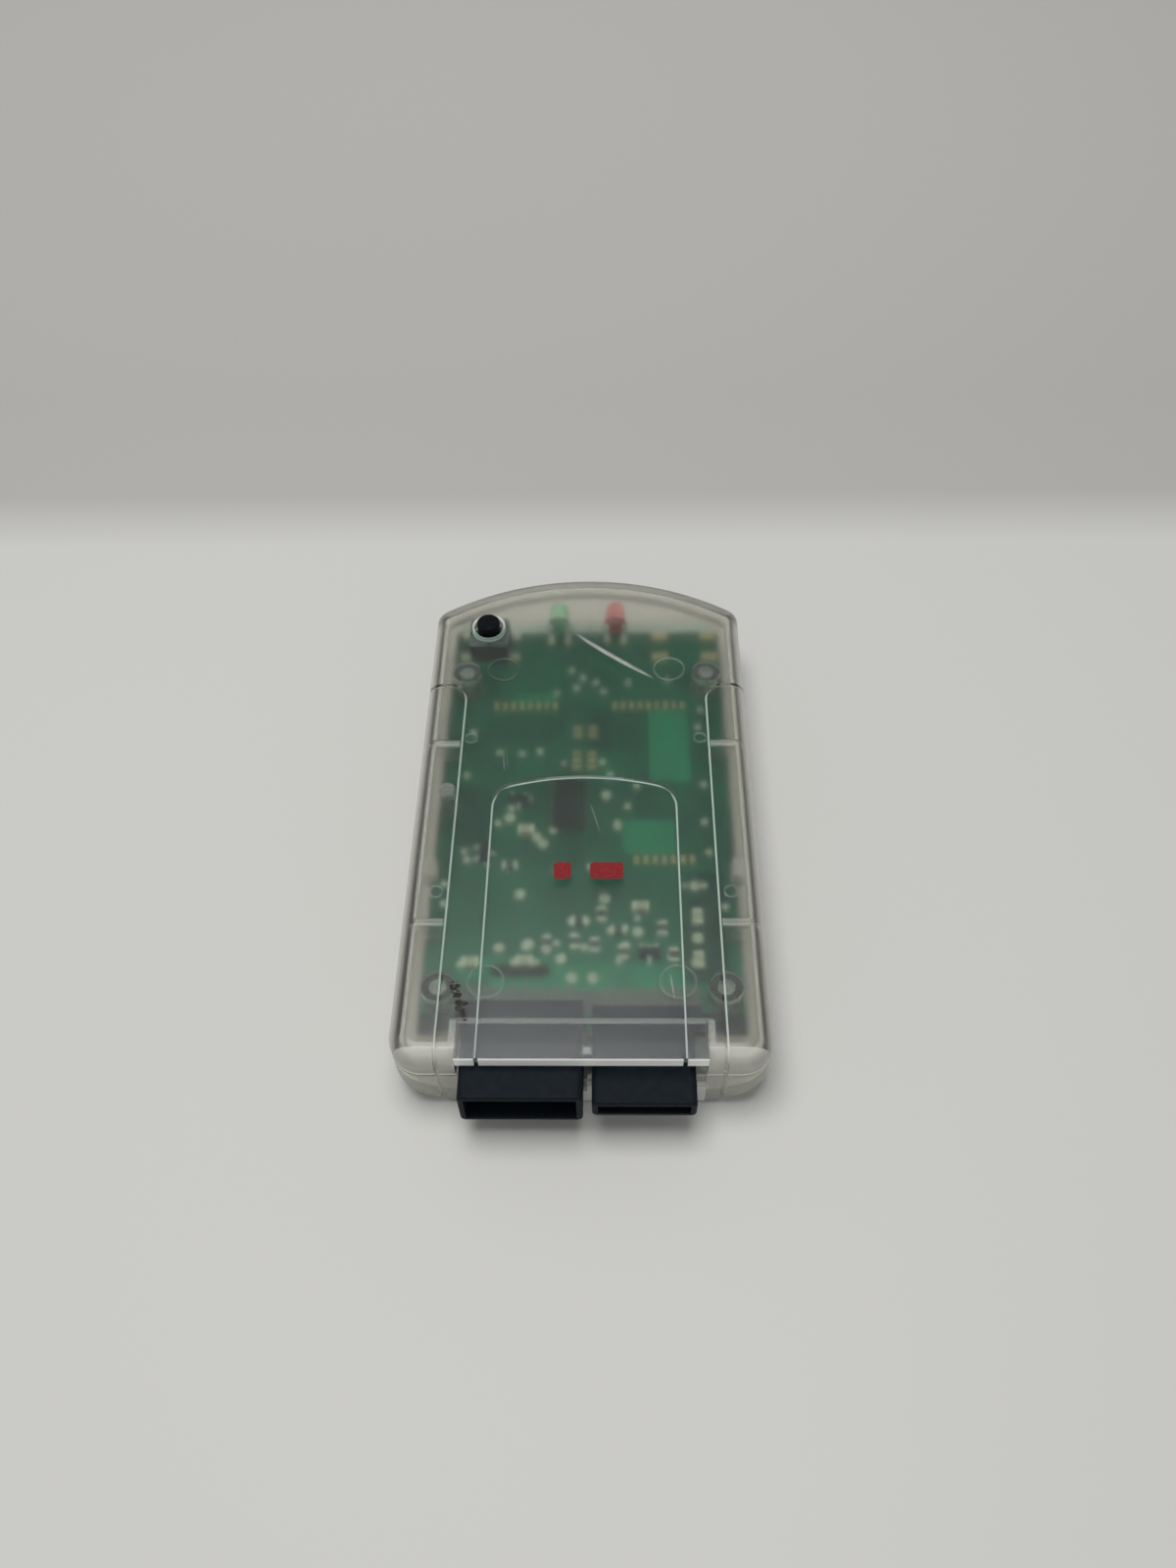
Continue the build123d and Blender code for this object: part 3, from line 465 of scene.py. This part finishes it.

# %% [markdown]
# ### Tones in the plastic
# Over the board the roof is painted a little green, painted light from the green board scattered in the roof,
# and over the sockets it is painted cooler and darker, painted shade from the black sockets below. The outer
# skin is slightly yellow, and the lip's cut edge is painted nearly white, a painted glow.

# %% Tones in the plastic
board_light_tone, socket_shade_tone = (0.80, 0.94, 0.86), (0.80, 0.87, 0.89)
skin_tone, edge_glow_tone = (0.89, 0.88, 0.79), (0.95, 0.945, 0.92)
board_rim, board_rim_ramp = 2.4 * mm, 1.0 * mm
board_far, board_far_ramp = 33.5 * mm, 1.5 * mm
sockets_from, sockets_ramp = -31.5 * mm, 0.8 * mm

inside_rim = past(frosted, inward, board_rim, board_rim_ramp)
over_board = both(frosted, inside_rim, short_of(frosted, card_y, board_far, board_far_ramp))
over_sockets = both(frosted, in_lip, short_of(frosted, card_y, sockets_from, sockets_ramp))
# painted light: green light from the board, painted on the roof above it
tone = mix_colours(frosted, both(frosted, over_board, in_roof), clear_tone, board_light_tone)
# painted shade: the roof over the black sockets is painted cooler and darker
tone = mix_colours(frosted, both(frosted, over_sockets, in_roof), tone, socket_shade_tone)
tone = mix_colours(frosted, both(frosted, outermost, beside_lip), tone, skin_tone)
# painted glow: the lip's cut edge is painted nearly white
tone = mix_colours(frosted, on_lip_front, tone, edge_glow_tone)
link(frosted, tone, shader_of(frosted).inputs["Base Color"])
emboss(frosted, 3600, 0.012 * mm, strength=0.5)
print("frosted plastic:", len(frosted.node_tree.nodes), "nodes")

# %% [markdown]
# ## Green board
# A circuit board is pressed glass cloth under a thin green mask. Where copper lies below the mask the green
# is bright, and where there is none it is dark. The board's own finish holds the mask's tone, a cloudy
# variation and the faint weave of the glass. It is a little brighter toward the sockets, and one dull band
# stands for the tinned row at the contact tails. The sawn edges have no mask, so they show the yellow
# resin. The copper comes later as thin pieces.

# %% Green board
mask_dark = (0.008, 0.072, 0.046)
mask_green = (0.014, 0.116, 0.069)
mask_near = (0.020, 0.165, 0.102)
mask_bright = (0.022, 0.255, 0.138)
tinned_row = (0.135, 0.125, 0.118)
raw_laminate = (0.36, 0.33, 0.15)

board = new_finish("board_green", mask_green, 0.5, Specular_IOR_Level=0.05)
clouds = spread(board, grain(board, 160, 3.0), 0.40, 0.62)
cloudy = mix_colours(board, clouds, mask_dark, mask_green)
weave = spread(board, grain(board, 2600, 1.0, (1, 6, 1)), 0.3, 0.7, 0.0, 0.35)
woven = mix_colours(board, weave, cloudy, mask_green)
board_x, board_y, _ = card_axes(board)
bright_near, bright_far, bright_share = -24 * mm, -8 * mm, 0.7
toward_sockets = spread(board, board_y, bright_near, bright_far, bright_share, 0)
masked = mix_colours(board, toward_sockets, woven, mask_near)
print("mask tones:", len(board.node_tree.nodes), "nodes")

# %% Tinned row and sawn edges
row_middle, row_half, row_near, row_far = -0.4 * mm, 15.4 * mm, -31 * mm, -27.4 * mm
row_end_ramp, row_side_ramp = 0.4 * mm, 0.5 * mm
across_row = short_of(board, apart(board, board_x, row_middle), row_half, row_end_ramp)
in_row = both(board, band(board, board_y, row_near, row_far, row_side_ramp), across_row)
soldered = mix_colours(board, in_row, masked, tinned_row)
facing = add_node(board, "ShaderNodeSeparateXYZ")
link(board, add_node(board, "ShaderNodeTexCoord").outputs["Normal"], facing.inputs["Vector"])
on_edge = spread(board, calculate(board, "ABSOLUTE", facing.outputs["Z"]), 0.4, 0.6, 1, 0)
link(board, mix_colours(board, on_edge, soldered, raw_laminate), shader_of(board).inputs["Base Color"])
emboss(board, 2600, 0.01 * mm, strength=0.4, stretch=(1, 6, 1))

# %% Copper under the mask
pour = new_finish("copper_pour", mask_bright, 0.5, Specular_IOR_Level=0.05)
mottle(pour, 300, mask_bright, (0.018, 0.200, 0.110))
mask_line = (0.020, 0.170, 0.098)
trace = new_finish("copper_trace", mask_line, 0.5, Specular_IOR_Level=0.05)
mottle(trace, 500, mask_line, (0.016, 0.140, 0.082))
bare_laminate = new_finish("bare_laminate", mask_dark, 0.5, Specular_IOR_Level=0.05)
mottle(bare_laminate, 400, (0.008, 0.050, 0.038), (0.012, 0.070, 0.048))
print("board finishes:", board.name, pour.name, trace.name, bare_laminate.name)

# %% [markdown]
# ## Black mouldings
# The sockets, the button, the switch base and the chip packages are all dark plastic, but not the same: the
# sockets have a fine spark-eroded grain and a cool sheen, the button is smoother and deeper black, and the
# chips are matt. Each gets its own grain and its own spread of roughness.

# %% Black mouldings
socket_black = new_finish("socket_black", (0.008, 0.012, 0.017), 0.45, Specular_IOR_Level=0.05)
mottle(socket_black, 900, (0.007, 0.011, 0.0155), (0.0095, 0.0135, 0.019))
roughen(socket_black, 3000, 0.4, 0.55)
emboss(socket_black, 6000, 0.012 * mm, strength=0.6)

button_black = new_finish("button_black", (0.005, 0.006, 0.008), 0.4, Specular_IOR_Level=0.06)
mottle(button_black, 1500, (0.004, 0.006, 0.008), (0.006, 0.008, 0.011))
roughen(button_black, 4000, 0.34, 0.5)
emboss(button_black, 5000, 0.008 * mm, strength=0.4)

switch_resin = new_finish("switch_resin", (0.018, 0.020, 0.026), 0.5)
mottle(switch_resin, 1200, (0.014, 0.016, 0.021), (0.024, 0.026, 0.033))
emboss(switch_resin, 4500, 0.01 * mm, strength=0.5)

chip_black = new_finish("chip_black", (0.013, 0.020, 0.021), 0.6, Specular_IOR_Level=0.1)
mottle(chip_black, 2000, (0.010, 0.016, 0.017), (0.017, 0.025, 0.026))
roughen(chip_black, 3500, 0.52, 0.7)
emboss(chip_black, 5500, 0.012 * mm, strength=0.6)

resistor_black = new_finish("resistor_black", (0.028, 0.028, 0.033), 0.3)
mottle(resistor_black, 1500, (0.022, 0.022, 0.027), (0.036, 0.036, 0.040))
roughen(resistor_black, 2500, 0.22, 0.4)
print("black mouldings: 5")

# %% [markdown]
# ## Metals and small bodies
# Bare metal needs light and dark places to mirror, and a little unevenness, or it reads as grey paint.
# Brushed parts have grain that is long one way. Solder is cloudy, and gold plate has a fine grain with
# small stains. Masks make the contacts' tails and the latch chip's leads duller than the rest.

# %% Metals and small bodies
contact_gold = new_finish("contact_gold", (0.36, 0.32, 0.25), 0.6, Metallic=1.0)
stains = spread(contact_gold, grain(contact_gold, 700, 3.0), 0.35, 0.65)
plating = mix_colours(contact_gold, stains, (0.38, 0.34, 0.26), (0.32, 0.28, 0.23))
tail_start, tail_tone = -33 * mm, (0.19, 0.175, 0.16)
_, contact_y, _ = card_axes(contact_gold)
contact_tone = mix_colours(contact_gold, past(contact_gold, contact_y, tail_start), plating, tail_tone)
link(contact_gold, contact_tone, shader_of(contact_gold).inputs["Base Color"])
roughen(contact_gold, 2500, 0.5, 0.7, stretch=(1, 8, 1))

pad_gold = new_finish("pad_gold", (0.58, 0.45, 0.26), 0.6, Metallic=0.8)
mottle(pad_gold, 900, (0.64, 0.50, 0.30), (0.52, 0.39, 0.21))
roughen(pad_gold, 3000, 0.5, 0.7)

switch_steel = new_finish("switch_steel", (0.32, 0.32, 0.33), 0.32, Metallic=1.0)
mottle(switch_steel, 800, (0.35, 0.35, 0.36), (0.28, 0.28, 0.29))
roughen(switch_steel, 3000, 0.24, 0.42, stretch=(12, 1, 1))

can_steel = new_finish("can_steel", (0.60, 0.60, 0.60), 0.3, Metallic=1.0)
mottle(can_steel, 600, (0.64, 0.64, 0.63), (0.54, 0.54, 0.54))
roughen(can_steel, 3000, 0.2, 0.38, stretch=(14, 1, 1))

tinned_lead = new_finish("tinned_lead", (0.66, 0.66, 0.64), 0.35, Metallic=1.0)
tarnish = spread(tinned_lead, grain(tinned_lead, 1500, 3.0), 0.35, 0.65)
tin = mix_colours(tinned_lead, tarnish, (0.70, 0.70, 0.68), (0.56, 0.56, 0.54))
latch_x, latch_y, latch_half_width, latch_half_length = -2.5 * mm, 1 * mm, 5 * mm, 6 * mm
lead_x, lead_y, _ = card_axes(tinned_lead)
at_latch = both(
    tinned_lead,
    short_of(tinned_lead, apart(tinned_lead, lead_x, latch_x), latch_half_width),
    short_of(tinned_lead, apart(tinned_lead, lead_y, latch_y), latch_half_length),
)
lead_tone = mix_colours(tinned_lead, at_latch, tin, (0.10, 0.12, 0.11))
link(tinned_lead, lead_tone, shader_of(tinned_lead).inputs["Base Color"])
roughen(tinned_lead, 3500, 0.45, 0.65)

solder = new_finish("solder", (0.80, 0.74, 0.64), 0.65, Metallic=0.3)
mottle(solder, 1200, (0.88, 0.82, 0.72), (0.66, 0.59, 0.48))
roughen(solder, 2500, 0.55, 0.75)
emboss(solder, 2000, 0.02 * mm, strength=0.4)

capacitor_tan = new_finish("capacitor_tan", (0.50, 0.42, 0.32), 0.45)
mottle(capacitor_tan, 1200, (0.54, 0.46, 0.36), (0.44, 0.36, 0.26))
roughen(capacitor_tan, 3000, 0.38, 0.56)

tank_yellow = new_finish("tank_yellow", (0.62, 0.42, 0.08), 0.45)
mottle(tank_yellow, 900, (0.66, 0.46, 0.10), (0.54, 0.36, 0.06))
roughen(tank_yellow, 3000, 0.38, 0.55)
print("metals and small bodies: 8")

# %% [markdown]
# ## Lamps
# The two lamps are cast in tinted, milky resin. They let light in and scatter it, so they glow a little even
# when unlit. Part transmission with a rough surface gives that soft depth.

# %% Lamps
green_lens = new_finish("green_lens", (0.38, 0.84, 0.52), 0.4, Transmission_Weight=0.35, IOR=1.4)
mottle(green_lens, 400, (0.36, 0.82, 0.50), (0.42, 0.88, 0.56))
red_lens = new_finish("red_lens", (0.90, 0.20, 0.20), 0.4, Transmission_Weight=0.35, IOR=1.4)
mottle(red_lens, 400, (0.88, 0.18, 0.18), (0.94, 0.24, 0.23))
print("lamp finishes:", green_lens.name, red_lens.name)

# %% [markdown]
# ## Hand the finishes out
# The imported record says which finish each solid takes, so one loop over it dresses every solid. Only the
# material slot changes: the solids' meshes stay as they were packed.

# %% Hand the finishes out
finishes = {
    "frosted_case": frosted,
    "board_green": board,
    "socket_black": socket_black,
    "contact_gold": contact_gold,
    "switch_resin": switch_resin,
    "switch_steel": switch_steel,
    "button_black": button_black,
    "tinned_lead": tinned_lead,
    "green_lens": green_lens,
    "red_lens": red_lens,
    "pad_gold": pad_gold,
    "solder": solder,
    "chip_black": chip_black,
    "can_steel": can_steel,
    "tank_yellow": tank_yellow,
    "resistor_black": resistor_black,
    "capacitor_tan": capacitor_tan,
}
for subpart in frame["record"]["subparts"]:
    for material_slot in frame["nodes"][subpart["node"]].material_slots:
        material_slot.material = finishes[subpart["material_slot"]]

# %% [markdown]
# ## Helpers for thin pieces
# Copper, print and scratches are all thin shapes that lie on a flat face. A bmesh starts from one edge or
# one cube, operators extrude and bevel it, and the finished mesh becomes an object at the origin that rides
# on the case.

# %% Thin piece helpers
def finish_piece(name, shape, material):
    """Turn a bmesh into an object that rides on the case."""
    bmesh.ops.recalc_face_normals(shape, faces=shape.faces)
    mesh = bpy.data.meshes.new(name)
    shape.to_mesh(mesh)
    shape.free()
    mesh.materials.append(material)
    piece = bpy.data.objects.new(name, mesh)
    bpy.context.scene.collection.objects.link(piece)
    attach(piece, "case")
    print(name, "faces:", len(mesh.polygons))


def add_slab(shape, x0, x1, y0, y1, z0, z1, corner):
    """A flat slab with rounded upright edges, given in mm."""
    middle = Matrix.Translation(Vector(((x0 + x1) / 2, (y0 + y1) / 2, (z0 + z1) / 2)) * mm)
    size = Matrix.Diagonal(Vector((x1 - x0, y1 - y0, z1 - z0)) * mm).to_4x4()
    made = bmesh.ops.create_cube(shape, size=1, matrix=middle @ size)
    edges = {edge for vertex in made["verts"] for edge in vertex.link_edges}
    upright = [e for e in edges if abs(e.verts[0].co.z - e.verts[1].co.z) > (z1 - z0) * mm / 2]
    bmesh.ops.bevel(
        shape, geom=upright, offset=corner * mm, affect="EDGES", segments=3, profile=0.5, material=-1
    )


def add_strip(shape, points, widths, z0, thickness):
    """A flat strip along a path, given in mm, extruded edge by edge and then thickened."""
    path = [Vector((x, y, z0)) * mm for x, y in points]
    across = []
    for index, point in enumerate(path):
        along = path[min(index + 1, len(path) - 1)] - path[max(index - 1, 0)]
        side = Vector((-along.y, along.x, 0)).normalized() * widths[index] * mm / 2
        across.append((point + side, point - side))
    edge = shape.edges.new([shape.verts.new(corner) for corner in across[0]])
    faces = []
    for left, right in across[1:]:
        grown = bmesh.ops.extrude_edge_only(shape, edges=[edge])["geom"]
        edge = next(g for g in grown if isinstance(g, bmesh.types.BMEdge))
        first = edge.verts[0]
        for vertex in edge.verts:
            vertex.co = left if vertex is first else right
        faces += [g for g in grown if isinstance(g, bmesh.types.BMFace)]
    lifted = bmesh.ops.extrude_face_region(shape, geom=faces)["geom"]
    raised = [g for g in lifted if isinstance(g, bmesh.types.BMVert)]
    bmesh.ops.translate(shape, verts=raised, vec=(0, 0, thickness * mm))


print("thin piece helpers ready")

# %% [markdown]
# ## Copper and bare fields
# Large areas of copper show as bright green fields, and fields with no copper look almost black-green. Both
# lie under the mask as steps of a few hundredths of a millimetre, so they are slabs with rounded corners.

# %% Copper and bare fields
board_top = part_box("circuit_board")[1].z / mm
copper_rise = 0.03
field_corner = 0.6

fields = bmesh.new()
for x0, x1, y0, y1 in (
    (9.3, 15.2, 5.7, 19.1),
    (5.3, 12.6, -6.9, -1.2),
    (-12, 13, -27.9, -24.2),
    (-11.4, -4.6, 20.9, 22.7),
    (-16.4, -4.2, -26.2, -23.2),
):
    add_slab(fields, x0, x1, y0, y1, board_top, board_top + copper_rise, field_corner)
finish_piece("copper_fields", fields, pour)

bare = bmesh.new()
for x0, x1, y0, y1 in (
    (-14.6, -3.4, 13.2, 18.1),
    (0.2, 8.9, 11.3, 19.3),
    (-6.4, -2.2, 6.3, 9.9),
    (13, 18.9, -26.9, -9.9),
    (-18.6, -13.6, -5.3, 4.9),
):
    add_slab(bare, x0, x1, y0, y1, board_top, board_top + copper_rise / 2, field_corner)
finish_piece("bare_fields", bare, bare_laminate)

# %% [markdown]
# ## Traces
# Traces are copper lines that run straight or at 45 degrees, mostly in bundles from the pad rows to the
# chips. Each is one strip along a short path. Listing them one by one keeps the bundles where the picture
# shows them.

# %% Traces
traces = bmesh.new()
pad_pitch = 1.27
trace_width = 0.28


def add_trace(points, width=trace_width):
    add_strip(traces, points, [width] * len(points), board_top, copper_rise)


for lane in range(8):
    x = -13.6 + lane * pad_pitch
    add_trace([(x, 20.9), (x, 23.1 + 0.5 * lane), (x + 1.6, 24.7 + 0.5 * lane), (x + 1.6, 28.1)])
    add_trace([(x, 19.5), (x, 12.3 - 0.45 * lane), (x + 2.2, 10.1 - 0.45 * lane), (x + 2.2, 6.7)])
for lane in range(9):
    x = 4.3 + lane * pad_pitch
    add_trace([(x, 20.9), (x, 26.9 - 0.5 * lane), (x - 1.8, 28.7 - 0.5 * lane), (x - 1.8, 30.3)])
    if lane < 4:
        add_trace([(x, 19.5), (x, 10.3 - 0.5 * lane), (x - 1.4, 8.9 - 0.5 * lane), (x - 1.4, 2.7 - lane)])
for lane in range(6):
    y = 15.9 - lane * pad_pitch
    shift = 0.4 * lane
    add_trace([(-1.9, y), (-3.2, y), (-4.0 - shift, y - 0.8 - shift), (-4.0 - shift, 6.5)], 0.22)
for lane in range(7):
    x = 7.2 + lane * pad_pitch
    add_trace([(x, -8.6), (x, -10.5 - 0.5 * lane), (x - 1.4, -11.9 - 0.5 * lane), (x - 1.4, -16.3)])
for lane in range(5):
    y = -8.5 - lane * 0.62
    add_trace([(-17.0, y), (-9.4 + lane, y), (-8.2 + lane, y - 1.2), (2.0 + lane, y - 1.2)])
for lane in range(6):
    x = -11.6 + lane * 0.62
    add_trace([(x, 0.1), (x, -3.7 - 0.6 * lane), (x + 3.0, -6.7 - 0.6 * lane), (x + 3.0, -19.7)], 0.22)
finish_piece("copper_traces", traces, trace)

# %% [markdown]
# ## Vias and solder beads
# Vias are small plated holes between the board's layers, and beads are the bright mounds of solder at the
# ends of the small parts. Both are round, so a short profile is drawn on one side and spun about its
# middle.

# %% Spun pieces
spin_steps = 14
seam = 0.001 * mm


def add_spun(shape, x, y, profile):
    """A profile of (distance, height) in mm, spun about an upright axis through a place on the board."""
    middle = Vector((x, y, board_top)) * mm
    corners = [shape.verts.new(middle + Vector((out, 0, up)) * mm) for out, up in profile]
    edges = [shape.edges.new(pair) for pair in zip(corners, corners[1:])]
    bmesh.ops.spin(
        shape,
        geom=corners + edges,
        cent=middle,
        axis=(0, 0, 1),
        angle=2 * math.pi,
        steps=spin_steps,
        use_merge=True,
    )


via_profile = [(0.18, 0.0), (0.27, 0.05), (0.5, 0.0), (0.18, 0.0)]
via_spots = [
    (-2.4, 27.5), (-0.6, 25.9), (1.4, 24.9), (-1.6, 23.9), (-4.6, 22.7), (2.6, 23.1), (6.4, 24.9),
    (12.4, 25.5),
    (-12.6, 11.1), (-9.4, 10.9), (-6.8, 11.3), (-3.2, 9.1), (2.4, 9.3), (3.6, 6.9), (7.4, 4.9), (6.0, 1.3),
    (4.6, -2.3), (-12.2, -1.7), (-14.2, -7.1), (-16.6, -6.5), (-13.4, -8.5), (-10.4, -9.5), (-16.2, -7.9),
    (0.8, -9.1), (3.2, -9.9), (-3.8, -9.7), (13.6, -12.2), (17.2, -6.7), (8.6, -21.9), (0.2, -21.7),
    (16.8, -1.5), (17.0, 5.1), (-17.2, 6.9), (-16.8, 14.9), (16.6, 15.9), (17.2, 19.3),
]
vias = bmesh.new()
for x, y in via_spots:
    add_spun(vias, x, y, via_profile)
bmesh.ops.remove_doubles(vias, verts=vias.verts, dist=seam)
finish_piece("via_rings", vias, solder)

# %% Solder beads
bead_spots = [
    (-10.4, 0.9, 0.6), (-8.3, 2.6, 0.7), (-8.7, -2.5, 0.6), (-6.7, -4.1, 0.7), (-4.4, -2.9, 0.6),
    (-8.6, -13.5, 0.5),
    (-1.4, -17.8, 0.7), (0.3, -17.8, 0.6), (2.4, -16.1, 0.8), (3.5, -19.3, 0.5), (5.4, -18.8, 0.5),
    (7.1, -17.3, 0.5), (-7.4, -21.5, 0.7), (-4.8, -20.3, 0.6), (-4.8, -22.1, 0.6), (-3.5, -21.1, 0.5),
    (-1.3, -20.0, 0.5), (1.5, -21.5, 0.7), (5.5, -21.5, 0.6), (4.7, -23.7, 0.5), (-6.1, -24.0, 0.5),
    (-9.0, -24.0, 0.5), (15.2, -17.3, 0.7), (15.0, -20.3, 0.8), (14.8, -24.0, 0.8), (11.6, -23.0, 0.7),
    (10.3, -18.8, 0.5), (-15.8, -24.3, 0.6), (-1.5, -26.3, 0.6), (1.2, -26.3, 0.6), (-19.0, -11.9, 0.5),
    (-18.8, -15.0, 0.5), (18.9, -15.5, 0.5), (16.2, -12.2, 0.5), (4.6, -1.7, 0.5),
]
beads = bmesh.new()
for x, y, radius in bead_spots:
    mound = [(0, 0), (radius, 0), (0.85 * radius, 0.16), (0.5 * radius, 0.27), (0, 0.32)]
    add_spun(beads, x, y, mound)
bmesh.ops.remove_doubles(beads, verts=beads.verts, dist=seam)
finish_piece("solder_beads", beads, solder)

# %% [markdown]
# ## Printed marks
# The face carries a small red mark below the middle of the centre panel. It is screen printed, so it is a
# thin layer of ink with soft corners: two plain bars, one short and one long, of the same ink.

# %% Printed marks
red_ink = new_finish("red_ink", (0.22, 0.013, 0.016), 0.6, Specular_IOR_Level=0.2)
mottle(red_ink, 2500, (0.25, 0.016, 0.019), (0.19, 0.011, 0.014))
face_top = 12.5
ink_rise = 0.012
bar_near, bar_far, bar_corner = -14.2, -11.6, 0.5

marks = bmesh.new()
for x0, x1 in ((-3.9, -1.6), (0.9, 5.3)):
    add_slab(marks, x0, x1, bar_near, bar_far, face_top, face_top + ink_rise, bar_corner)
finish_piece("printed_marks", marks, red_ink)

# %% [markdown]
# ## Wear
# The case has been handled: one long scratch crosses the far half, a few finer ones lie on the panel, and
# dark flecks sit beside the near left corner. A scratch in clear plastic scatters light and looks pale, so
# each is a bundle of hair-thin grey strips with tapered ends. Every strand has its own height, because
# strips that overlap in one plane look black from other views. A fixed seed keeps every run the same.

# %% Scratches
chance = random.Random(7)
scuffed = new_finish("scuffed_plastic", (0.46, 0.48, 0.46), 0.7)
mottle(scuffed, 3000, (0.52, 0.54, 0.52), (0.36, 0.39, 0.37))
scratch_rise = 0.004
strand_step = 0.0006
strand_depth = 0.002
wander = 0.02
curve_steps = 24


def curve_points(start, bend, stop):
    """Points along a simple curve through a middle point."""
    control = [2 * b - (a + c) / 2 for a, b, c in zip(start, bend, stop)]
    points = []
    for step in range(curve_steps + 1):
        t = step / curve_steps
        weights = ((1 - t) ** 2, 2 * t * (1 - t), t * t)
        points.append([sum(w * v for w, v in zip(weights, place)) for place in zip(start, control, stop)])
    return points


def add_scratch(shape, start, bend, stop, width, strands, offset, shortest):
    """A bundle of tapered strips that wander around one curve, each covering at least a share of it."""
    for strand in range(strands):
        shift = chance.uniform(-offset, offset)
        points = [
            (x + shift + chance.uniform(-wander, wander), y + shift + chance.uniform(-wander, wander))
            for x, y in curve_points(start, bend, stop)
        ]
        steps = round(curve_steps * chance.uniform(shortest, 1))
        first = chance.randint(0, curve_steps - steps)
        part = points[first:first + steps + 1]
        widths = [width * (0.3 + 0.7 * math.sin(math.pi * i / steps)) for i in range(len(part))]
        height = strand_depth + scratch_rise + strand * strand_step
        add_strip(shape, part, widths, face_top - strand_depth, height)


scratches = bmesh.new()
add_scratch(scratches, (-1.6, 30.8), (3.84, 26.1), (10.0, 21.5), 0.06, 7, 0.1, 0.8)
add_scratch(scratches, (-1.2, 30.4), (3.84, 26.1), (9.8, 21.7), 0.04, 22, 0.24, 0.2)
add_scratch(scratches, (0.79, -1.87), (1.55, -4.3), (2.16, -6.84), 0.05, 2, 0.02, 0.8)
add_scratch(scratches, (-11.5, 7.1), (-11.3, 5.6), (-11.2, 4.1), 0.04, 4, 0.35, 0.3)
add_scratch(scratches, (11.0, -28.1), (11.2, -30.0), (11.5, -31.8), 0.06, 3, 0.06, 0.6)
finish_piece("scratches", scratches, scuffed)

# %% Dark flecks
fleck_dark = new_finish("dark_fleck", (0.010, 0.010, 0.010), 0.8)
mottle(fleck_dark, 4000, (0.008, 0.008, 0.008), (0.020, 0.020, 0.018))

fleck_count = 70
fleck_sizes = (0.07, 0.09, 0.12, 0.16, 0.22)
flatness = 0.12
flecks = bmesh.new()
for _ in range(fleck_count):
    t = chance.random()
    x = -15.94 + 1.9 * t + chance.uniform(-0.5, 0.5)
    y = -29.58 - 5.0 * t + chance.uniform(-0.6, 0.6)
    size = chance.choice(fleck_sizes)
    squat = Matrix.Diagonal(Vector((chance.uniform(0.6, 2.4), chance.uniform(0.5, 1.8), flatness))).to_4x4()
    where = Matrix.Translation(Vector((x, y, face_top)) * mm)
    bmesh.ops.create_icosphere(flecks, subdivisions=1, radius=size * mm, matrix=where @ squat)
finish_piece("dark_flecks", flecks, fleck_dark)

# %% [markdown]
# ## Table and light
# The card lies on a smooth pale sheet that bends up behind it. One large flat floor stands for both: past the
# bend it is painted darker, painted shade for the upright part of the sheet that gets less light from above,
# and then slowly lighter. The light is that of a bright room: one wide soft lamp that gives the shadow under
# the card, and a dim room that is brighter low down, most of all in front, as windows make it.

# %% Table
sheet_tone = (0.62, 0.62, 0.605)
backdrop_shade_tone = (0.45, 0.445, 0.435)
far_tone = (0.56, 0.555, 0.54)
sheet = new_finish("pale_sheet", sheet_tone, 0.6)
bend_from, bend_to, rise_from, rise_to = 66 * mm, 80 * mm, 110 * mm, 320 * mm
_, sheet_y, _ = card_axes(sheet)
past_bend = spread(sheet, sheet_y, bend_from, bend_to)
rising = spread(sheet, sheet_y, rise_from, rise_to)
# painted shade: past the bend the sheet is painted darker, then slowly lighter
backdrop_shade = mix_colours(sheet, rising, backdrop_shade_tone, far_tone)
link(sheet, mix_colours(sheet, past_bend, sheet_tone, backdrop_shade), shader_of(sheet).inputs["Base Color"])
emboss(sheet, 900, 0.02 * mm, strength=0.15)

floor_shape = bmesh.new()
bmesh.ops.create_grid(floor_shape, x_segments=8, y_segments=8, size=2.0)
floor_mesh = bpy.data.meshes.new("floor")
floor_shape.to_mesh(floor_mesh)
floor_shape.free()
floor_mesh.materials.append(sheet)
floor = bpy.data.objects.new("floor", floor_mesh)
bpy.context.scene.collection.objects.link(floor)
print("floor faces:", len(floor_mesh.polygons))

# %% Room
for name in ("Light", "Cube", "Camera"):
    if name in bpy.data.objects:
        bpy.data.objects.remove(bpy.data.objects[name])

world = bpy.context.scene.world or bpy.data.worlds.new("room")
bpy.context.scene.world = world
world.use_nodes = True
sky = world.node_tree.nodes["Background"]
sky.inputs["Color"].default_value = (0.98, 1.0, 1.0, 1)
outlook = add_node(world, "ShaderNodeSeparateXYZ")
link(world, add_node(world, "ShaderNodeTexCoord").outputs["Generated"], outlook.inputs["Vector"])
low_down = spread(world, calculate(world, "ABSOLUTE", outlook.outputs["Z"]), 0, 0.7, 1, 0)
in_front = spread(world, outlook.outputs["Y"], -0.5, 0.3, 1.2, 1)
window_light = calculate(world, "MULTIPLY", low_down, in_front)
dim, bright = 0.18, 0.75
link(world, spread(world, window_light, 0, 1, dim, bright), sky.inputs["Strength"])
print("room nodes:", len(world.node_tree.nodes))

# %% Lamp
lamp_data = bpy.data.lights.new("soft_lamp", "AREA")
lamp_data.shape = "DISK"
lamp_data.size = 0.44
lamp_data.energy = 3.55
lamp_data.color = (1.0, 0.985, 0.96)
lamp = bpy.data.objects.new("soft_lamp", lamp_data)
lamp.location = (-0.07, 0.02, 0.70)
lamp.rotation_euler = (-lamp.location).to_track_quat("-Z", "Y").to_euler()
bpy.context.scene.collection.objects.link(lamp)

bpy.context.scene.view_settings.view_transform = "Standard"
print("lamp energy:", lamp_data.energy)
